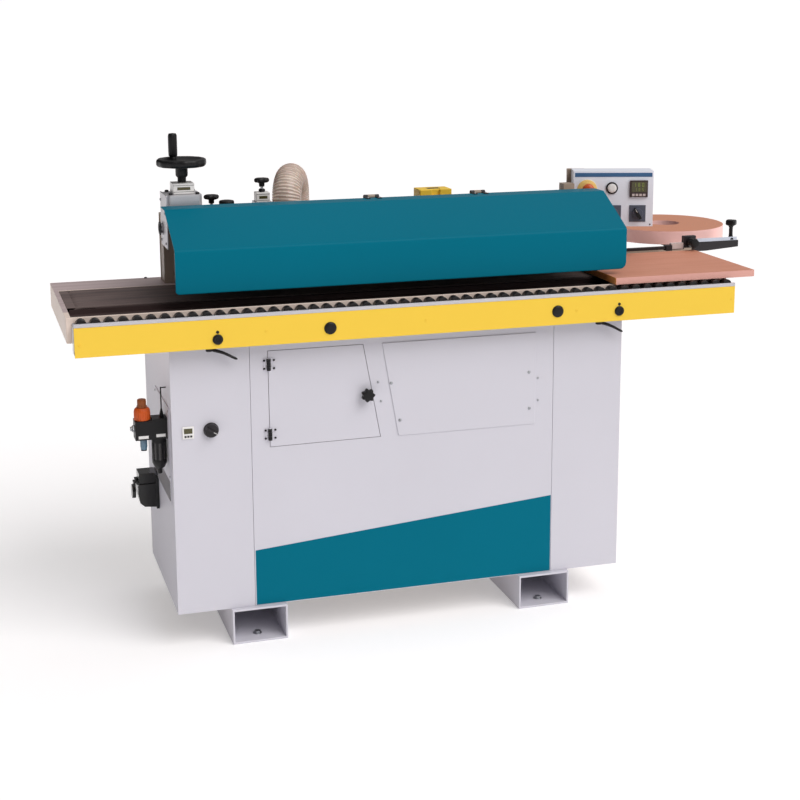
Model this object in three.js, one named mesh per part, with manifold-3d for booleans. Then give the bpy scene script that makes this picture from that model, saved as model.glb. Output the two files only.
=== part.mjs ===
// Edge banding machine. Millimetres, +Z up, +X to the operator's right, +Y to the back.
// Inside the machine group X starts at the left end of the yellow fascia and Y at its front face.
import * as THREE from "three";
import { mergeVertices } from "three/addons/utils/BufferGeometryUtils.js";
import Module from "manifold-3d";

const wasm = await Module();
wasm.setup();

// ---- driving dimensions -------------------------------------------------
const CENTRE = [1045, 418]; // middle of the whole machine, moved to X = 0, Y = 0
const GAP = 0.3; // air between two parts that touch
const TABLE = { x0: -15, x1: 1818, y0: 40, y1: 546, z0: 855, z1: 920.5, line: 412 };
const BELT_TOP = 921.5;
const BELT = { y0: 165, y1: 410, t: 3.9 };
const RAIL = { length: 1825, top: 911, bottom: 830, depth: 39, floor: 890 };
const FASCIA = { bottom: 825, top: 901.3, t: 3 };
const ROLLER = { r: 14, pitch: 35, first: 20, count: 52, z: 906 };
const CAB = { x0: 240, x1: 1504, y0: 52, y1: 546, z0: 98, z1: 820, t: 3 };
const SEAM = [448, 1300]; // left and right edges of the middle front sheet
const FEET = [[382, 533], [1200, 1351]];
const ROD = { x: [358, 1471], r: 9, z: 842, back: 500 };
const HOOD = { x0: 266, x1: 1521, y: 70, z0: 956, fold: 1070, top: 1155, yTop: 233, back: 298, t: 2 };
const HINGE = { y: 306, z: 1157, at: [851, 1164] };
const BEAM = { x0: 296, x1: 1490, y0: 215, y1: 285, z0: 955.5, z1: 1030 };
const WHEEL = { x: [420, 740, 1060, 1380], y: 250, z: 971.2, r: 30, w: 40, axle: 5 };
const COLUMN = { x: 334, y: 355 }; // handwheel axis
const GRIP = [319.5, 404]; // axis of its turning grip
const EDGE_Y = 404; // axis of the setting knobs over the banding line
// The control box faces the operator: turned about its front left edge at x, y.
const BOX = { x: 1477.5, y: 351, w: 234, d: 75, z0: 1037, z1: 1200, turn: -17.2 };
const STOP = [42, 1147], START = [112.5, 1150.5], SELECT = { u: [116.5, 188.5], z: 1075.6 };
const ROLL = { x: 1917, y: 648, r: 188, bore: 50, z0: 946.3, z1: 988 };
const BOARD = { x0: 1470, x1: 1896, y0: 22, y1: 389.6, z0: 921.8, t: 19 };
const DRUM = { x: [34, 1764], z: 891, r: 26.1, journal: 8 };

// ---- shape helpers ------------------------------------------------------
function solid(geometry) {
  const g = geometry.clone();
  g.deleteAttribute("normal");
  g.deleteAttribute("uv");
  const m = mergeVertices(g, 1e-4);
  return new wasm.Manifold(
    new wasm.Mesh({
      numProp: 3,
      vertProperties: new Float32Array(m.attributes.position.array),
      triVerts: new Uint32Array(m.index.array),
    }),
  );
}
const add = (...s) => s.reduce((a, b) => a.add(b));
const cut = (a, ...s) => s.reduce((p, q) => p.subtract(q), a);

function block(x0, x1, y0, y1, z0, z1) {
  const g = new THREE.BoxGeometry(x1 - x0, y1 - y0, z1 - z0);
  g.translate((x0 + x1) / 2, (y0 + y1) / 2, (z0 + z1) / 2);
  return solid(g);
}
// A round bar along an axis, from a to b; p holds its other two coordinates.
function rod(axis, p, r, a, b, seg = 16, r2 = r) {
  const g = new THREE.CylinderGeometry(r2, r, b - a, seg);
  g.rotateX(Math.PI / 2);
  g.translate(0, 0, (a + b) / 2);
  if (axis === "x") g.rotateY(Math.PI / 2);
  if (axis === "y") g.rotateX(-Math.PI / 2);
  if (axis === "x") g.translate(0, p[0], p[1]);
  if (axis === "y") g.translate(p[0], 0, p[1]);
  if (axis === "z") g.translate(p[0], p[1], 0);
  return solid(g);
}
// Bore radius that leaves a faceted shaft of radius r free to turn.
const running = (r, seg = 16) => (r + 0.08) / Math.cos(Math.PI / seg);
const hole = (axis, p, r, a, b, seg = 16) => rod(axis, p, running(r, seg), a, b, seg);

// A polygon drawn in two axes and extruded along the third.
function prism(plane, points, a, b, holes = []) {
  const shape = new THREE.Shape(points.map(([u, v]) => new THREE.Vector2(u, v)));
  for (const h of holes) shape.holes.push(new THREE.Path(h.map(([u, v]) => new THREE.Vector2(u, v))));
  const g = new THREE.ExtrudeGeometry(shape, { depth: b - a, bevelEnabled: false });
  if (plane === "xy") g.translate(0, 0, a);
  if (plane === "xz") {
    g.rotateX(Math.PI / 2);
    g.translate(0, b, 0);
  }
  if (plane === "yz") {
    g.rotateY(Math.PI / 2);
    g.rotateX(Math.PI / 2);
    g.translate(a, 0, 0);
  }
  return solid(g);
}
// A solid of revolution about a vertical axis from [radius, height] points.
function turned(points, x, y, seg = 20) {
  const g = new THREE.LatheGeometry(points.map(([r, z]) => new THREE.Vector2(r, z)), seg);
  g.rotateX(Math.PI / 2);
  g.translate(x, y, 0);
  return solid(g);
}
// Regular outline whose radius swings between r0 and r1, for lobed knobs.
function lobes(cx, cy, r0, r1, n, steps = 4) {
  const out = [];
  for (let i = 0; i < n * steps; i++) {
    const a = (i / (n * steps)) * 2 * Math.PI;
    const r = (r0 + r1) / 2 + ((r1 - r0) / 2) * Math.cos(n * a);
    out.push([cx + r * Math.cos(a), cy + r * Math.sin(a)]);
  }
  return out;
}
function offset(points, d) {
  // Moves each side of an anticlockwise polygon outwards by d.
  const n = points.length;
  const line = (i) => {
    const [x1, y1] = points[i], [x2, y2] = points[(i + 1) % n];
    const l = Math.hypot(x2 - x1, y2 - y1), nx = (y2 - y1) / l, ny = -(x2 - x1) / l;
    return [nx, ny, nx * x1 + ny * y1 + d];
  };
  return points.map((_, i) => {
    const [a, b, c] = line((i + n - 1) % n), [p, q, r] = line(i);
    const det = a * q - b * p;
    return [(c * q - b * r) / det, (a * r - c * p) / det];
  });
}

// ---- materials ----------------------------------------------------------
const PAINT = {
  grey: [0xd2d0d8, 0.5, 0.1],
  shade: [0xb9b2ad, 0.55, 0.1],
  frame: [0xcfc4bc, 0.45, 0.3],
  teal: [0x00707f, 0.35, 0.1],
  yellow: [0xf3c62f, 0.4, 0.1],
  black: [0x1c1b1d, 0.5, 0],
  dark: [0x3a3a40, 0.5, 0.3],
  belt: [0x5a4e4e, 0.85, 0],
  rubber: [0x232224, 0.9, 0],
  steel: [0xc4c4c8, 0.3, 0.9],
  alu: [0xc9c8ca, 0.4, 0.8],
  white: [0xe9e8e6, 0.4, 0],
  box: [0xcfd3df, 0.45, 0.1],
  salmon: [0xcd8a72, 0.6, 0],
  orange: [0xe06a28, 0.4, 0],
  red: [0xd8481e, 0.4, 0],
  hose: [0xc9b9a4, 0.5, 0],
  tan: [0xb59a84, 0.5, 0.1],
};
const root = new THREE.Group();
const machine = new THREE.Group();
machine.position.set(-CENTRE[0], -CENTRE[1], 0);
root.add(machine);

function part(name, paint, shape) {
  const m = shape.getMesh();
  const g = new THREE.BufferGeometry();
  const v = new Float32Array(m.numVert * 3);
  for (let i = 0; i < m.numVert; i++)
    v.set(m.vertProperties.subarray(i * m.numProp, i * m.numProp + 3), i * 3);
  g.setAttribute("position", new THREE.BufferAttribute(v, 3));
  g.setIndex(new THREE.BufferAttribute(new Uint32Array(m.triVerts), 1));
  g.computeVertexNormals();
  const [color, roughness, metalness] = PAINT[paint];
  const mesh = new THREE.Mesh(g, new THREE.MeshStandardMaterial({ color, roughness, metalness }));
  mesh.name = name;
  machine.add(mesh);
}

// ---- feet and cabinet ---------------------------------------------------
function footTube([x0, x1]) {
  const shell = cut(block(x0, x1, 37, 545, 0, 97.6), block(x0 + 6, x1 - 6, 30, 550, 6, 91.6));
  const xm = (x0 + x1) / 2;
  return cut(shell, rod("z", [xm, 85], 7, -1, 8, 12), rod("z", [xm, 500], 7, -1, 8, 12));
}
function cabinetBody() {
  const { x0, x1, y0, y1, z0, z1, t } = CAB, i = t + 0.4;
  const floor = block(x0 + i, x1 - i, y0 + i, y1 - 1, z0, z0 + t);
  const back = block(x0, x1, y1 - t, y1, z0, z1);
  const lid = cut(
    block(x0 + i, x1 - i, y0 + i, y1 - 1, z1 - t, z1),
    block(500, 860, 150, 470, z1 - 10, z1 + 1),
    block(900, 1260, 150, 470, z1 - 10, z1 + 1),
  );
  const beams = [[262, 322], [700, 760], [1384, 1444]].map(([a, b]) =>
    cut(block(a, b, 62, 500, z1 - 1, 854.6), block(a + 4, b - 4, 60, 502, z1 + 3, 850)),
  );
  const guides = ROD.x.flatMap((x) => [
    block(x - 22, x + 22, 66, 96, z1 - 1, 854.6),
    block(x - 22, x + 22, 150, 180, z1 - 1, 854.6),
  ]);
  return cut(
    add(floor, back, lid, ...beams, ...guides),
    ...ROD.x.map((x) => hole("y", [x, ROD.z], ROD.r, 60, 190)),
    ...[0, 1, 2, 3, 4, 5].map((k) => block(1080, 1240, y1 - 10, y1 + 5, 560 + 26 * k, 568 + 26 * k)),
  );
}
function column(x0, x1, outer, inner) {
  const { y0, y1, z0, z1, t } = CAB;
  const side = outer < inner ? [x0, x0 + t] : [x1 - t, x1];
  const lip = outer < inner ? [x1 - t, x1] : [x0, x0 + t];
  return add(
    block(x0, x1, y0, y0 + t, z0, z1),
    block(...side, y0, y1 - t - GAP, z0, z1),
    block(...lip, y0, y0 + 68, z0 + t + 0.4, z1 - t - 0.4),
  );
}
const servicePlate = () => block(CAB.x0 - 2.2, CAB.x0 + 1, 88, 340, 391, 655);

const DOOR = [[498.5, 538], [800, 540], [754, 797], [497, 797]];
const SERVICE = [[851, 538], [1246, 538], [1246, 797], [807, 797]];
function frontPanel() {
  const { y0, z0, z1, t } = CAB, [a, b] = [SEAM[0] + 0.6, SEAM[1] - 0.6];
  const sheet = add(
    block(a, b, y0, y0 + t, z0, z1),
    block(a, a + t, y0, y0 + 24, z0 + t + 0.4, z1 - t - 0.4),
    block(b - t, b, y0, y0 + 24, z0 + t + 0.4, z1 - t - 0.4),
  );
  return cut(
    sheet,
    prism("xz", offset(DOOR, 1.4), y0 - 5, y0 + 10),
    prism("xz", offset(SERVICE, -14), y0 - 5, y0 + 10),
  );
}

// ---- door with its two hinges ------------------------------------------
const PIVOT = { x: 497.8, y: 47, z: [573, 762], r: 4.6, pin: 2 };
function doorHinge(z) {
  const { x, y, r, pin } = PIVOT;
  const leaf = block(x - 13, x, CAB.y0 - 1.6, CAB.y0 - GAP, z - 5.5, z + 5.5);
  const tab = block(x - 2, x + 1.2, y, CAB.y0 - GAP, z - 5.5, z + 5.5);
  const plate = block(x - 13, x - 6, CAB.y0 - 1.6, CAB.y0 - GAP, z - 16, z + 16);
  return add(leaf, tab, plate, rod("z", [x, y], r, z - 5.5, z + 5.5, 10), rod("z", [x, y], pin, z - 16, z + 16, 8));
}
function accessDoor() {
  const { x, y, r, pin } = PIVOT, y0 = CAB.y0;
  const skin = prism("xz", DOOR, y0, y0 + 2.5);
  const lip = prism("xz", offset(DOOR, -8), y0 + 2, y0 + 5.4, [offset(DOOR, -10)]);
  let door = add(skin, lip);
  for (const z of PIVOT.z)
    for (const [a, b] of [[z - 16, z - 6.2], [z + 6.2, z + 16]])
      door = add(
        door,
        cut(
          add(rod("z", [x, y], r, a, b, 10), block(x, x + 14, y0 - 1.6, y0 + 0.5, a, b),
            block(x - 0.5, x + r, y, y0 - 0.4, a, b)),
          hole("z", [x, y], pin, a - 1, b + 1, 8),
        ),
      );
  return cut(door, hole("y", [762, 662], 5, y0 - 5, y0 + 10, 12));
}
function doorKnob() {
  const c = [762, 662];
  return add(
    prism("xz", lobes(...c, 13.5, 17.5, 7), 24, 42),
    rod("y", c, 9, 41, 51.2, 12),
    rod("y", c, 5, 50, 62, 12),
    block(c[0] - 6, c[0] + 12, 58, 62, c[1] - 6, c[1] + 6),
  );
}

// ---- table, belt and drums ---------------------------------------------
function tableFrame() {
  const { x0, x1, y0, y1, z0, z1, line } = TABLE;
  return cut(
    block(x0, x1, y0, y1, z0, z1),
    block(x0 + 3, x1 - 3, y0 + 3, y1 - 3, z0 + 3, z1 - 3),
    block(x0 + 13, x1 - 16, y0 + 7, line + 6, z1 - 4, z1 + 1),
  );
}
function tableBed() {
  const [a, b] = [4, 1794], bottom = TABLE.z0 + 3 + GAP;
  const top = BELT_TOP - BELT.t - 0.7, [f, r] = [BELT.y0 - 7, BELT.y1 + 3];
  const side = (y) => block(a, b, y, y + 3, bottom, top);
  const bed = add(
    side(f),
    side(r),
    block(72, 1726, f, r + 3, top - 4.4, top),
    block(-11.6, 1814.4, 47.5, f + 2, 901.5, 904.5),
    block(a, b, f - 10, f + 2, bottom, bottom + 3),
    block(a, b, r + 1, r + 13, bottom, bottom + 3),
    ...[500, 900, 1300].map((x) => block(x, x + 5, f + 2, r + 1, 875.5, top - 3)),
  );
  return cut(bed, ...DRUM.x.map((x) => hole("y", [x, DRUM.z], DRUM.journal, f - 6, r + 9)));
}
function conveyorBelt() {
  const stadium = (r) => {
    const pts = [];
    for (let i = 0; i <= 8; i++) {
      const t = -Math.PI / 2 + (i / 8) * Math.PI;
      pts.push([DRUM.x[1] + r * Math.cos(t), DRUM.z + r * Math.sin(t)]);
    }
    for (let i = 0; i <= 8; i++) {
      const t = Math.PI / 2 + (i / 8) * Math.PI;
      pts.push([DRUM.x[0] + r * Math.cos(t), DRUM.z + r * Math.sin(t)]);
    }
    return pts;
  };
  const R = BELT_TOP - DRUM.z;
  return prism("xz", stadium(R), BELT.y0, BELT.y1, [stadium(R - BELT.t)]);
}
const drum = (x) => add(
  rod("y", [x, DRUM.z], DRUM.r - 0.2, BELT.y0 + 1, BELT.y1 - 1, 16),
  rod("y", [x, DRUM.z], DRUM.journal, BELT.y0 - 11, BELT.y1 + 12, 16),
);

// ---- front support that pulls out --------------------------------------
function supportRail() {
  const { length, top, bottom, depth, floor } = RAIL;
  return add(
    block(0, length, 3.3, 6.3, bottom, top),
    block(0, length, 0, 6.3, top - 9.4, top),
    block(0, length, depth - 3, depth, bottom, top - 4),
    block(0, length, 3.3, depth, floor, floor + 3),
    block(0, 3, 3.3, depth, bottom, top - 9.4),
    block(length - 3, length, 3.3, depth, bottom, top - 9.4),
    ...[339, 1421].map((x) => block(x - 14, x + 14, 12, depth - 3.5, 824, floor + 1)),
  );
}
function guideRod(x) {
  return add(rod("y", [x, ROD.z], ROD.r, 5, ROD.back), rod("y", [x, ROD.z], 12, RAIL.depth - 1, 46, 16));
}
function supportRollers() {
  // Rollers side by side in their carrier strip, drawn as one outline.
  const { r, pitch, first, count, z } = ROLLER, base = z - 7;
  const pts = [[RAIL.length - 6, base - 5.7], [RAIL.length - 6, base]];
  const a0 = Math.asin((base - z) / r);
  for (let k = count - 1; k >= 0; k--) {
    const x = first + k * pitch;
    for (let i = 0; i <= 5; i++) {
      const a = a0 + (i / 5) * (Math.PI - 2 * a0);
      pts.push([x + r * Math.cos(a), z + r * Math.sin(a)]);
    }
  }
  pts.push([5, base], [5, base - 5.7]);
  return prism("xz", pts, 8, 34);
}
function clampLever(x) {
  const top = 823.7, y = 24;
  const down = [[-6, 2], [-6, 9], [14, 14], [36, 23], [57, 33], [69, 37], [74, 34], [70, 28], [46, 16], [24, 7], [8, 2]];
  const arm = prism("xz", down.map(([u, v]) => [x + u, top - v]), y - 5, y + 5);
  return add(rod("z", [x, y], 9, top - 10, top, 12), arm);
}
const fascia = () => block(0, RAIL.length, 0, FASCIA.t, FASCIA.bottom, FASCIA.top);

// ---- unit carrier behind the banding line ------------------------------
function unitCarrier() {
  const z0 = TABLE.z1 + GAP, y0 = 440, y1 = 500, top = 1110;
  const shelf = [
    block(290, 1471, y0, y0 + 4, z0, top),
    block(290, 1471, y0, y1, z0, z0 + 4),
    block(290, 1471, y0, y1, top - 4, top),
    ...[290, 880, 1467].map((x) => block(x, x + 4, y0, y1, z0, top)),
  ];
  const arms = [
    block(288, 370, 238, y0 + 4, 1080, 1148),
    block(1400, 1471, 238, 330, 1080, 1148),
    block(1400, 1471, 328, y0 + 4, 1080, 1124),
    block(366, 1408, HINGE.y, HINGE.y + 20, 1126, 1147),
  ];
  const posts = [block(COLUMN.x - 36, COLUMN.x + 36, y0 - 6, y1 - 10, 1080, 1148), block(1410, 1460, y0, y1 - 10, 1100, 1124)];
  const boxArm = [block(1460, 1640, 360, y0 + 4, 1014, BOX.z0 - GAP),
    onBox(block(-12, 40, BOX.d + GAP, BOX.d + 22, 1014, 1198)), block(1441, 1474, 336, 372, 1118, 1166)];
  const rollArm = [
    block(1460, ROLL.x + 18, 462, 500, z0, z0 + 16),
    block(ROLL.x - 18, ROLL.x + 18, 490, ROLL.y + 18, z0, z0 + 16),
    rod("z", [ROLL.x, ROLL.y], 8, z0 + 10, 974, 16),
    rod("z", [ROLL.x, ROLL.y], 22, z0 + 10, 941.3, 16),
  ];
  const hinges = HINGE.at.map((x) => add(
    block(x - 10, x + 10, HINGE.y - 2, HINGE.y + 20, 1146, 1154),
    rod("x", [HINGE.y, HINGE.z], 6, x - 10, x + 10, 12),
    rod("x", [HINGE.y, HINGE.z], 2.5, x - 23, x + 23, 12),
  ));
  const all = add(...shelf, ...arms, ...posts, ...boxArm, ...rollArm, ...hinges);
  return cut(
    all,
    hole("z", [COLUMN.x, COLUMN.y], 6, 1070, 1160),
    hole("z", [COLUMN.x, 262], 11, 1070, 1160),
    hole("z", [1438, 262], 11, 1070, 1160),
    block(588, 682, 438, 456, 1086, 1120),
  );
}
function rearCover() {
  const z0 = TABLE.z1 + GAP;
  const sheet = add(block(288, 1471, 499.5, 502.5, z0, 1112), block(288, 1471, 470, 502.5, 1109.5, 1112));
  const slots = [];
  for (const x of [400, 1000]) for (let k = 0; k < 4; k++) slots.push(block(x, x + 200, 495, 510, 980 + 24 * k, 988 + 24 * k));
  const duct = cut(
    add(block(650, 730, 501, 590, z0 + 4, 1000), rod("z", [690, 548], 37, 999, 1030, 16)),
    rod("z", [690, 548], 33, 960, 1040, 16),
    block(656, 724, 510, 584, z0 + 10, 990),
    rod("z", [690, 548], 33, z0, 960, 16),
  );
  return add(cut(sheet, ...slots), duct);
}
function liftHousing() {
  const bore = hole("z", [COLUMN.x, COLUMN.y], 6, 1140, 1190);
  const block1 = prism("xy", [[286, 312], [294, 304], [372, 304], [380, 312], [380, 398], [368, 410], [298, 410], [286, 398]],
    1148.4, 1182);
  const side = block(282, 286, 304, 418, 1036, 1182);
  return cut(add(block1, block(285, 288, 312, 398, 1148.4, 1182), side, rod("x", [393, 1083], 14, 277, 283, 16)), bore);
}
function liftCounter() {
  const c = [COLUMN.x, COLUMN.y];
  return cut(block(c[0] - 29, c[0] + 29, c[1] - 29, c[1] + 29, 1182.3, 1211), hole("z", c, 6, 1180, 1215));
}

// ---- pressure beam and handwheel ---------------------------------------
function pressureBeam() {
  const { x0, x1, y0, y1, z0, z1 } = BEAM;
  const beam = add(
    block(x0, x1, y0, y1, z1 - 4, z1),
    block(x0, x1, y0, y0 + 4, z0, z1),
    block(x0, x1, y1 - 4, y1, z0, z1),
    ...WHEEL.x.map((x) => rod("y", [x, WHEEL.z], WHEEL.axle, y0 + 1, y1 - 1, 12)),
    rod("z", [COLUMN.x, 262], 11, z1 - 2, 1110),
    rod("z", [1438, 262], 11, z1 - 2, 1110),
    block(COLUMN.x - 24, COLUMN.x + 24, y1 - 2, COLUMN.y + 20, 1006.5, z1),
  );
  return cut(beam, hole("z", [COLUMN.x, COLUMN.y], 6, 990, 1060));
}
const pressureWheel = (x) => cut(
  rod("y", [x, WHEEL.z], WHEEL.r, WHEEL.y - WHEEL.w / 2, WHEEL.y + WHEEL.w / 2, 20),
  hole("y", [x, WHEEL.z], WHEEL.axle, 200, 300, 12),
);
function handwheel() {
  const { x, y } = COLUMN, [gx, gy] = GRIP;
  const wheel = turned([[0, 1001.5], [6, 1001.5], [6, 1211.4], [11, 1211.4], [11, 1225], [16, 1228], [17, 1252],
    [44, 1257], [60, 1255], [66.5, 1260], [66.5, 1272], [62, 1276], [44, 1270], [16, 1270], [0, 1270]], x, y, 20);
  const pin = rod("z", [gx, gy], 4, 1262, 1326, 12);
  const seat = rod("z", [gx, gy], 9, 1262, 1276.6, 12);
  return add(wheel, seat, pin);
}
function handwheelGrip() {
  const body = turned([[0, 1277], [10.5, 1277], [11.8, 1281], [11.6, 1334], [10, 1339], [7, 1340], [0, 1340]], ...GRIP, 16);
  return cut(body, hole("z", GRIP, 4, 1270, 1327, 12));
}

// ---- hood ---------------------------------------------------------------
function hood() {
  const { x0, x1, y, z0, fold, top, yTop, back, t } = HOOD;
  const s = t * 0.55; // the slope keeps the sheet the same thickness
  const profile = [[y + 9, z0], [y + 9, z0 + t], [y + t, z0 + t], [y + t, fold - s], [yTop + s, top - t], [back, top - t],
    [back, top], [yTop, top], [y, fold], [y, z0]];
  const sheet = prism("yz", profile, x0, x1);
  const knuckles = HINGE.at.flatMap((x) => [[x - 22, x - 10.8], [x + 10.8, x + 22]].map(([a, b]) => cut(
    add(rod("x", [HINGE.y, HINGE.z], 6, a, b, 12), block(a, b, back - 8, HINGE.y, top - 1.8, top + 3)),
    hole("x", [HINGE.y, HINGE.z], 2.5, a - 1, b + 1, 12),
  )));
  return add(sheet, ...knuckles);
}

// ---- working units ------------------------------------------------------
function trimUnit() {
  const y1 = 439.7;
  return cut(
    add(block(384, 500, 394, y1, 1000, 1096), block(392, 492, 394, 434, 1095, 1131),
      rod("z", [420, 412], 16, 934, 1001, 16), rod("z", [466, 412], 16, 934, 1001, 16),
      rod("z", [EDGE_Y + 17, EDGE_Y], 8, 1130, 1136, 12)),
    hole("z", [421, EDGE_Y], 4, 1110, 1140, 12),
    hole("z", [463, EDGE_Y], 4, 1110, 1140, 12),
  );
}
function trimKnobTall() {
  return add(rod("z", [421, EDGE_Y], 4, 1115, 1140, 12), rod("z", [421, EDGE_Y], 8, 1136.5, 1156, 12),
    prism("xy", lobes(421, EDGE_Y, 17.5, 21.5, 7, 3), 1155, 1168));
}
function trimKnobLow() {
  return add(rod("z", [463, EDGE_Y], 4, 1115, 1140, 12),
    turned([[0, 1131.5], [16, 1131.5], [20, 1139], [21, 1143], [21, 1148], [17, 1151], [0, 1151]], 463, EDGE_Y, 16));
}
function scraperUnit() {
  const x = 563;
  return cut(
    add(block(528, 672, 394, 439.7, 1010, 1090), block(540, 588, 382, 432, 1089, 1144),
      block(604, 664, 394, 432, 1089, 1100), rod("z", [634, 412], 37, 1088, 1121, 16),
      block(548, 576, 396, 420, 936, 1011), block(612, 656, 394, 430, 948, 1011)),
    rod("z", [634, 412], 33, 1060, 1130, 16),
    hole("z", [x, EDGE_Y], 4, 1110, 1150, 12),
  );
}
function scraperCounter() {
  return cut(block(544, 582, EDGE_Y - 19, EDGE_Y + 19, 1144.3, 1170), hole("z", [563, EDGE_Y], 4, 1140, 1175, 12));
}
function scraperKnob() {
  const x = 563;
  return add(rod("z", [x, EDGE_Y], 4, 1115, 1198, 12), rod("z", [x, EDGE_Y], 9, 1170.5, 1178, 12),
    rod("z", [x, EDGE_Y], 7, 1184, 1198, 12), prism("xy", lobes(x, EDGE_Y, 17.5, 21.5, 7, 3), 1197, 1209));
}
function dustHose() {
  const path = new THREE.CurvePath();
  const a = new THREE.Vector3(634, 412, 1103), b = new THREE.Vector3(690, 548, 1008);
  const [p, q] = [new THREE.Vector3(634, 412, 1126), new THREE.Vector3(690, 548, 1126)];
  path.add(new THREE.LineCurve3(a, p));
  path.add(new THREE.CubicBezierCurve3(p, new THREE.Vector3(634, 412, 1218), new THREE.Vector3(690, 548, 1222), q));
  path.add(new THREE.LineCurve3(q, b));
  const ring = (r) => Array.from({ length: 14 }, (_, i) => new THREE.Vector2(
    r * Math.cos((i / 14) * 2 * Math.PI), r * Math.sin((i / 14) * 2 * Math.PI)));
  const shape = new THREE.Shape(ring(41.5));
  shape.holes.push(new THREE.Path(ring(38.5)));
  const points = [];
  for (let i = 0; i <= 16; i++) points.push(path.getPointAt(i / 16));
  const smooth = new THREE.CatmullRomCurve3(points, false, "centripetal");
  return solid(new THREE.ExtrudeGeometry(shape, { steps: 14, extrudePath: smooth, bevelEnabled: false }));
}
function guillotineUnit() {
  return add(block(1008, 1118, 396, 439.7, 960, 1134), block(1040, 1086, 394, 430, 930, 961));
}
const guillotineCap = () => cut(block(1014, 1110, 372, 436, 1134.3, 1161), block(1050, 1074, 360, 380, 1140, 1170));
function heaterUnit() {
  return add(block(1250, 1400, 396, 439.7, 980, 1098), block(1290, 1380, 393, 430, 928, 981),
    block(1196, 1252, 396, 439.7, 1000, 1040), rod("z", [1222, 411.2], 5, 924, 1002, 12),
    rod("z", [1222, 411.2], 9, 923, 926, 12));
}
const tapePressRoller = () => cut(rod("z", [1222, 411.2], 20, 926.4, 966, 16), hole("z", [1222, 411.2], 5, 920, 990, 12));

// ---- control box --------------------------------------------------------
// Shapes of the box are drawn with X along its face, Y into it and the face at Y = 0.
const onBox = (s) => s.rotate([0, 0, BOX.turn]).translate([BOX.x, BOX.y, 0]);
function controlBox() {
  const { w, d, z0, z1 } = BOX;
  return onBox(cut(
    block(0, w, 0, d, z0, z1),
    block(2, w - 2, 2, d - 2, z0 + 2, z1 - 2),
    rod("z", [190, 40], 10, z0 - 5, z0 + 5, 12),
    hole("y", STOP, 8, -5, 5, 12),
    hole("y", START, 12, -5, 5, 12),
    ...SELECT.u.map((u) => hole("y", [u, SELECT.z], 5, -5, 5, 12)),
  ));
}
function emergencyStop() {
  return onBox(add(rod("y", STOP, 18, -23, -14, 16), rod("y", STOP, 13, -28, -22, 16), rod("y", STOP, 8, -15, 15, 12)));
}
const startButton = () => onBox(add(rod("y", START, 13, -7, -4, 16), rod("y", START, 12, -5, 13, 12)));
function selector(u) {
  const c = [u, SELECT.z], angle = (62 * Math.PI) / 180;
  const turn = ([a, b]) => [c[0] - a * Math.cos(angle) + b * Math.sin(angle), c[1] + a * Math.sin(angle) + b * Math.cos(angle)];
  const grip = [[-19, -4], [19, -2.4], [19, 2.4], [-19, 4]].map(turn);
  return onBox(add(rod("y", c, 16, -7, -0.4, 16), prism("xz", grip, -20, -6), rod("y", c, 5, -2, 17, 12)));
}

// ---- tape roll and tape guide ------------------------------------------
function tapeTray() {
  const c = [ROLL.x, ROLL.y];
  return cut(
    add(rod("z", c, 150, 941.6, 946, 32), rod("z", c, 48, 945, 966, 24), rod("z", c, 20, 945, 972, 16)),
    hole("z", c, 8, 940, 990, 16),
  );
}
const tapeRoll = () => cut(
  rod("z", [ROLL.x, ROLL.y], ROLL.r, ROLL.z0, ROLL.z1, 32),
  rod("z", [ROLL.x, ROLL.y], ROLL.bore, 930, 1000, 24),
);
function tapeGuide() {
  return cut(
    add(
      block(1480.4, 1830, 402, 414, 944, 953),
      block(1806, 1826, 398, 418, 940, 957),
      block(1824, 1868, 402, 414, 942, 962),
      block(1866, 1906, 400, 416, 946, 982),
      prism("xz", [[1900, 934], [1940, 934], [2050, 942], [2050, 962], [1900, 962]], 398, 416),
      rod("z", [2028, 407], 7, 961, 964, 12),
      block(1480.4, 1500, 398, 439.7, 944, 953),
    ),
    hole("z", [2028, 407], 4, 945, 970, 12),
    hole("y", [1886, 964], 4, 395, 412, 12),
  );
}
const guideKnob = () => add(rod("y", [1886, 964], 14, 364, 396, 16), rod("y", [1886, 964], 4, 395, 409, 12));
function guideScrew() {
  const c = [2028, 407];
  return add(rod("z", c, 4, 948, 1010, 12), rod("z", c, 10, 964.3, 974, 12, 5.8), rod("z", c, 5.8, 973, 1010, 12),
    prism("xy", lobes(...c, 10, 17.5, 4, 4), 1008, 1025));
}

// ---- air and power service on the left side ----------------------------
const AIR = { x: [175.5, 217], y: 135, z0: 567, z1: 618 };
function airUnit() {
  const { x, y, z0, z1 } = AIR, wall = CAB.x0 - GAP;
  return cut(
    add(block(154, 200, y - 22, y + 22, z0, z1 - 0.4), block(199, 237.4, y - 22, y + 22, z0, z1 + 4),
      rod("x", [y, 595], 8, 148, 155, 12), rod("z", [177, y], 8, 534, 568, 12),
      rod("z", [226, y], 7, 621, 646, 12, 1.8), rod("z", [226, y], 1.8, 645, 702, 8), rod("x", [y, 700.4], 1.6, 225, wall, 8)),
    hole("z", [x[0], y], 6, z1 - 20, z1 + 2, 12),
  );
}
function regulatorKnob() {
  const { x, y, z1 } = AIR;
  return add(turned([[0, z1], [21, z1], [21, z1 + 28], [16, z1 + 34], [12, z1 + 35], [12, z1 + 55], [0, z1 + 55]], x[0], y, 16),
    rod("z", [x[0], y], 6, z1 - 12, z1 + 1, 12));
}
const filterBowl = () => turned([[0, 468], [6, 468], [7, 482], [15, 488], [19.5, 502], [19.5, 566.6], [0, 566.6]], AIR.x[1], AIR.y, 16);
const INLET = { y: 380, pivot: [376, 178] };
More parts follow.
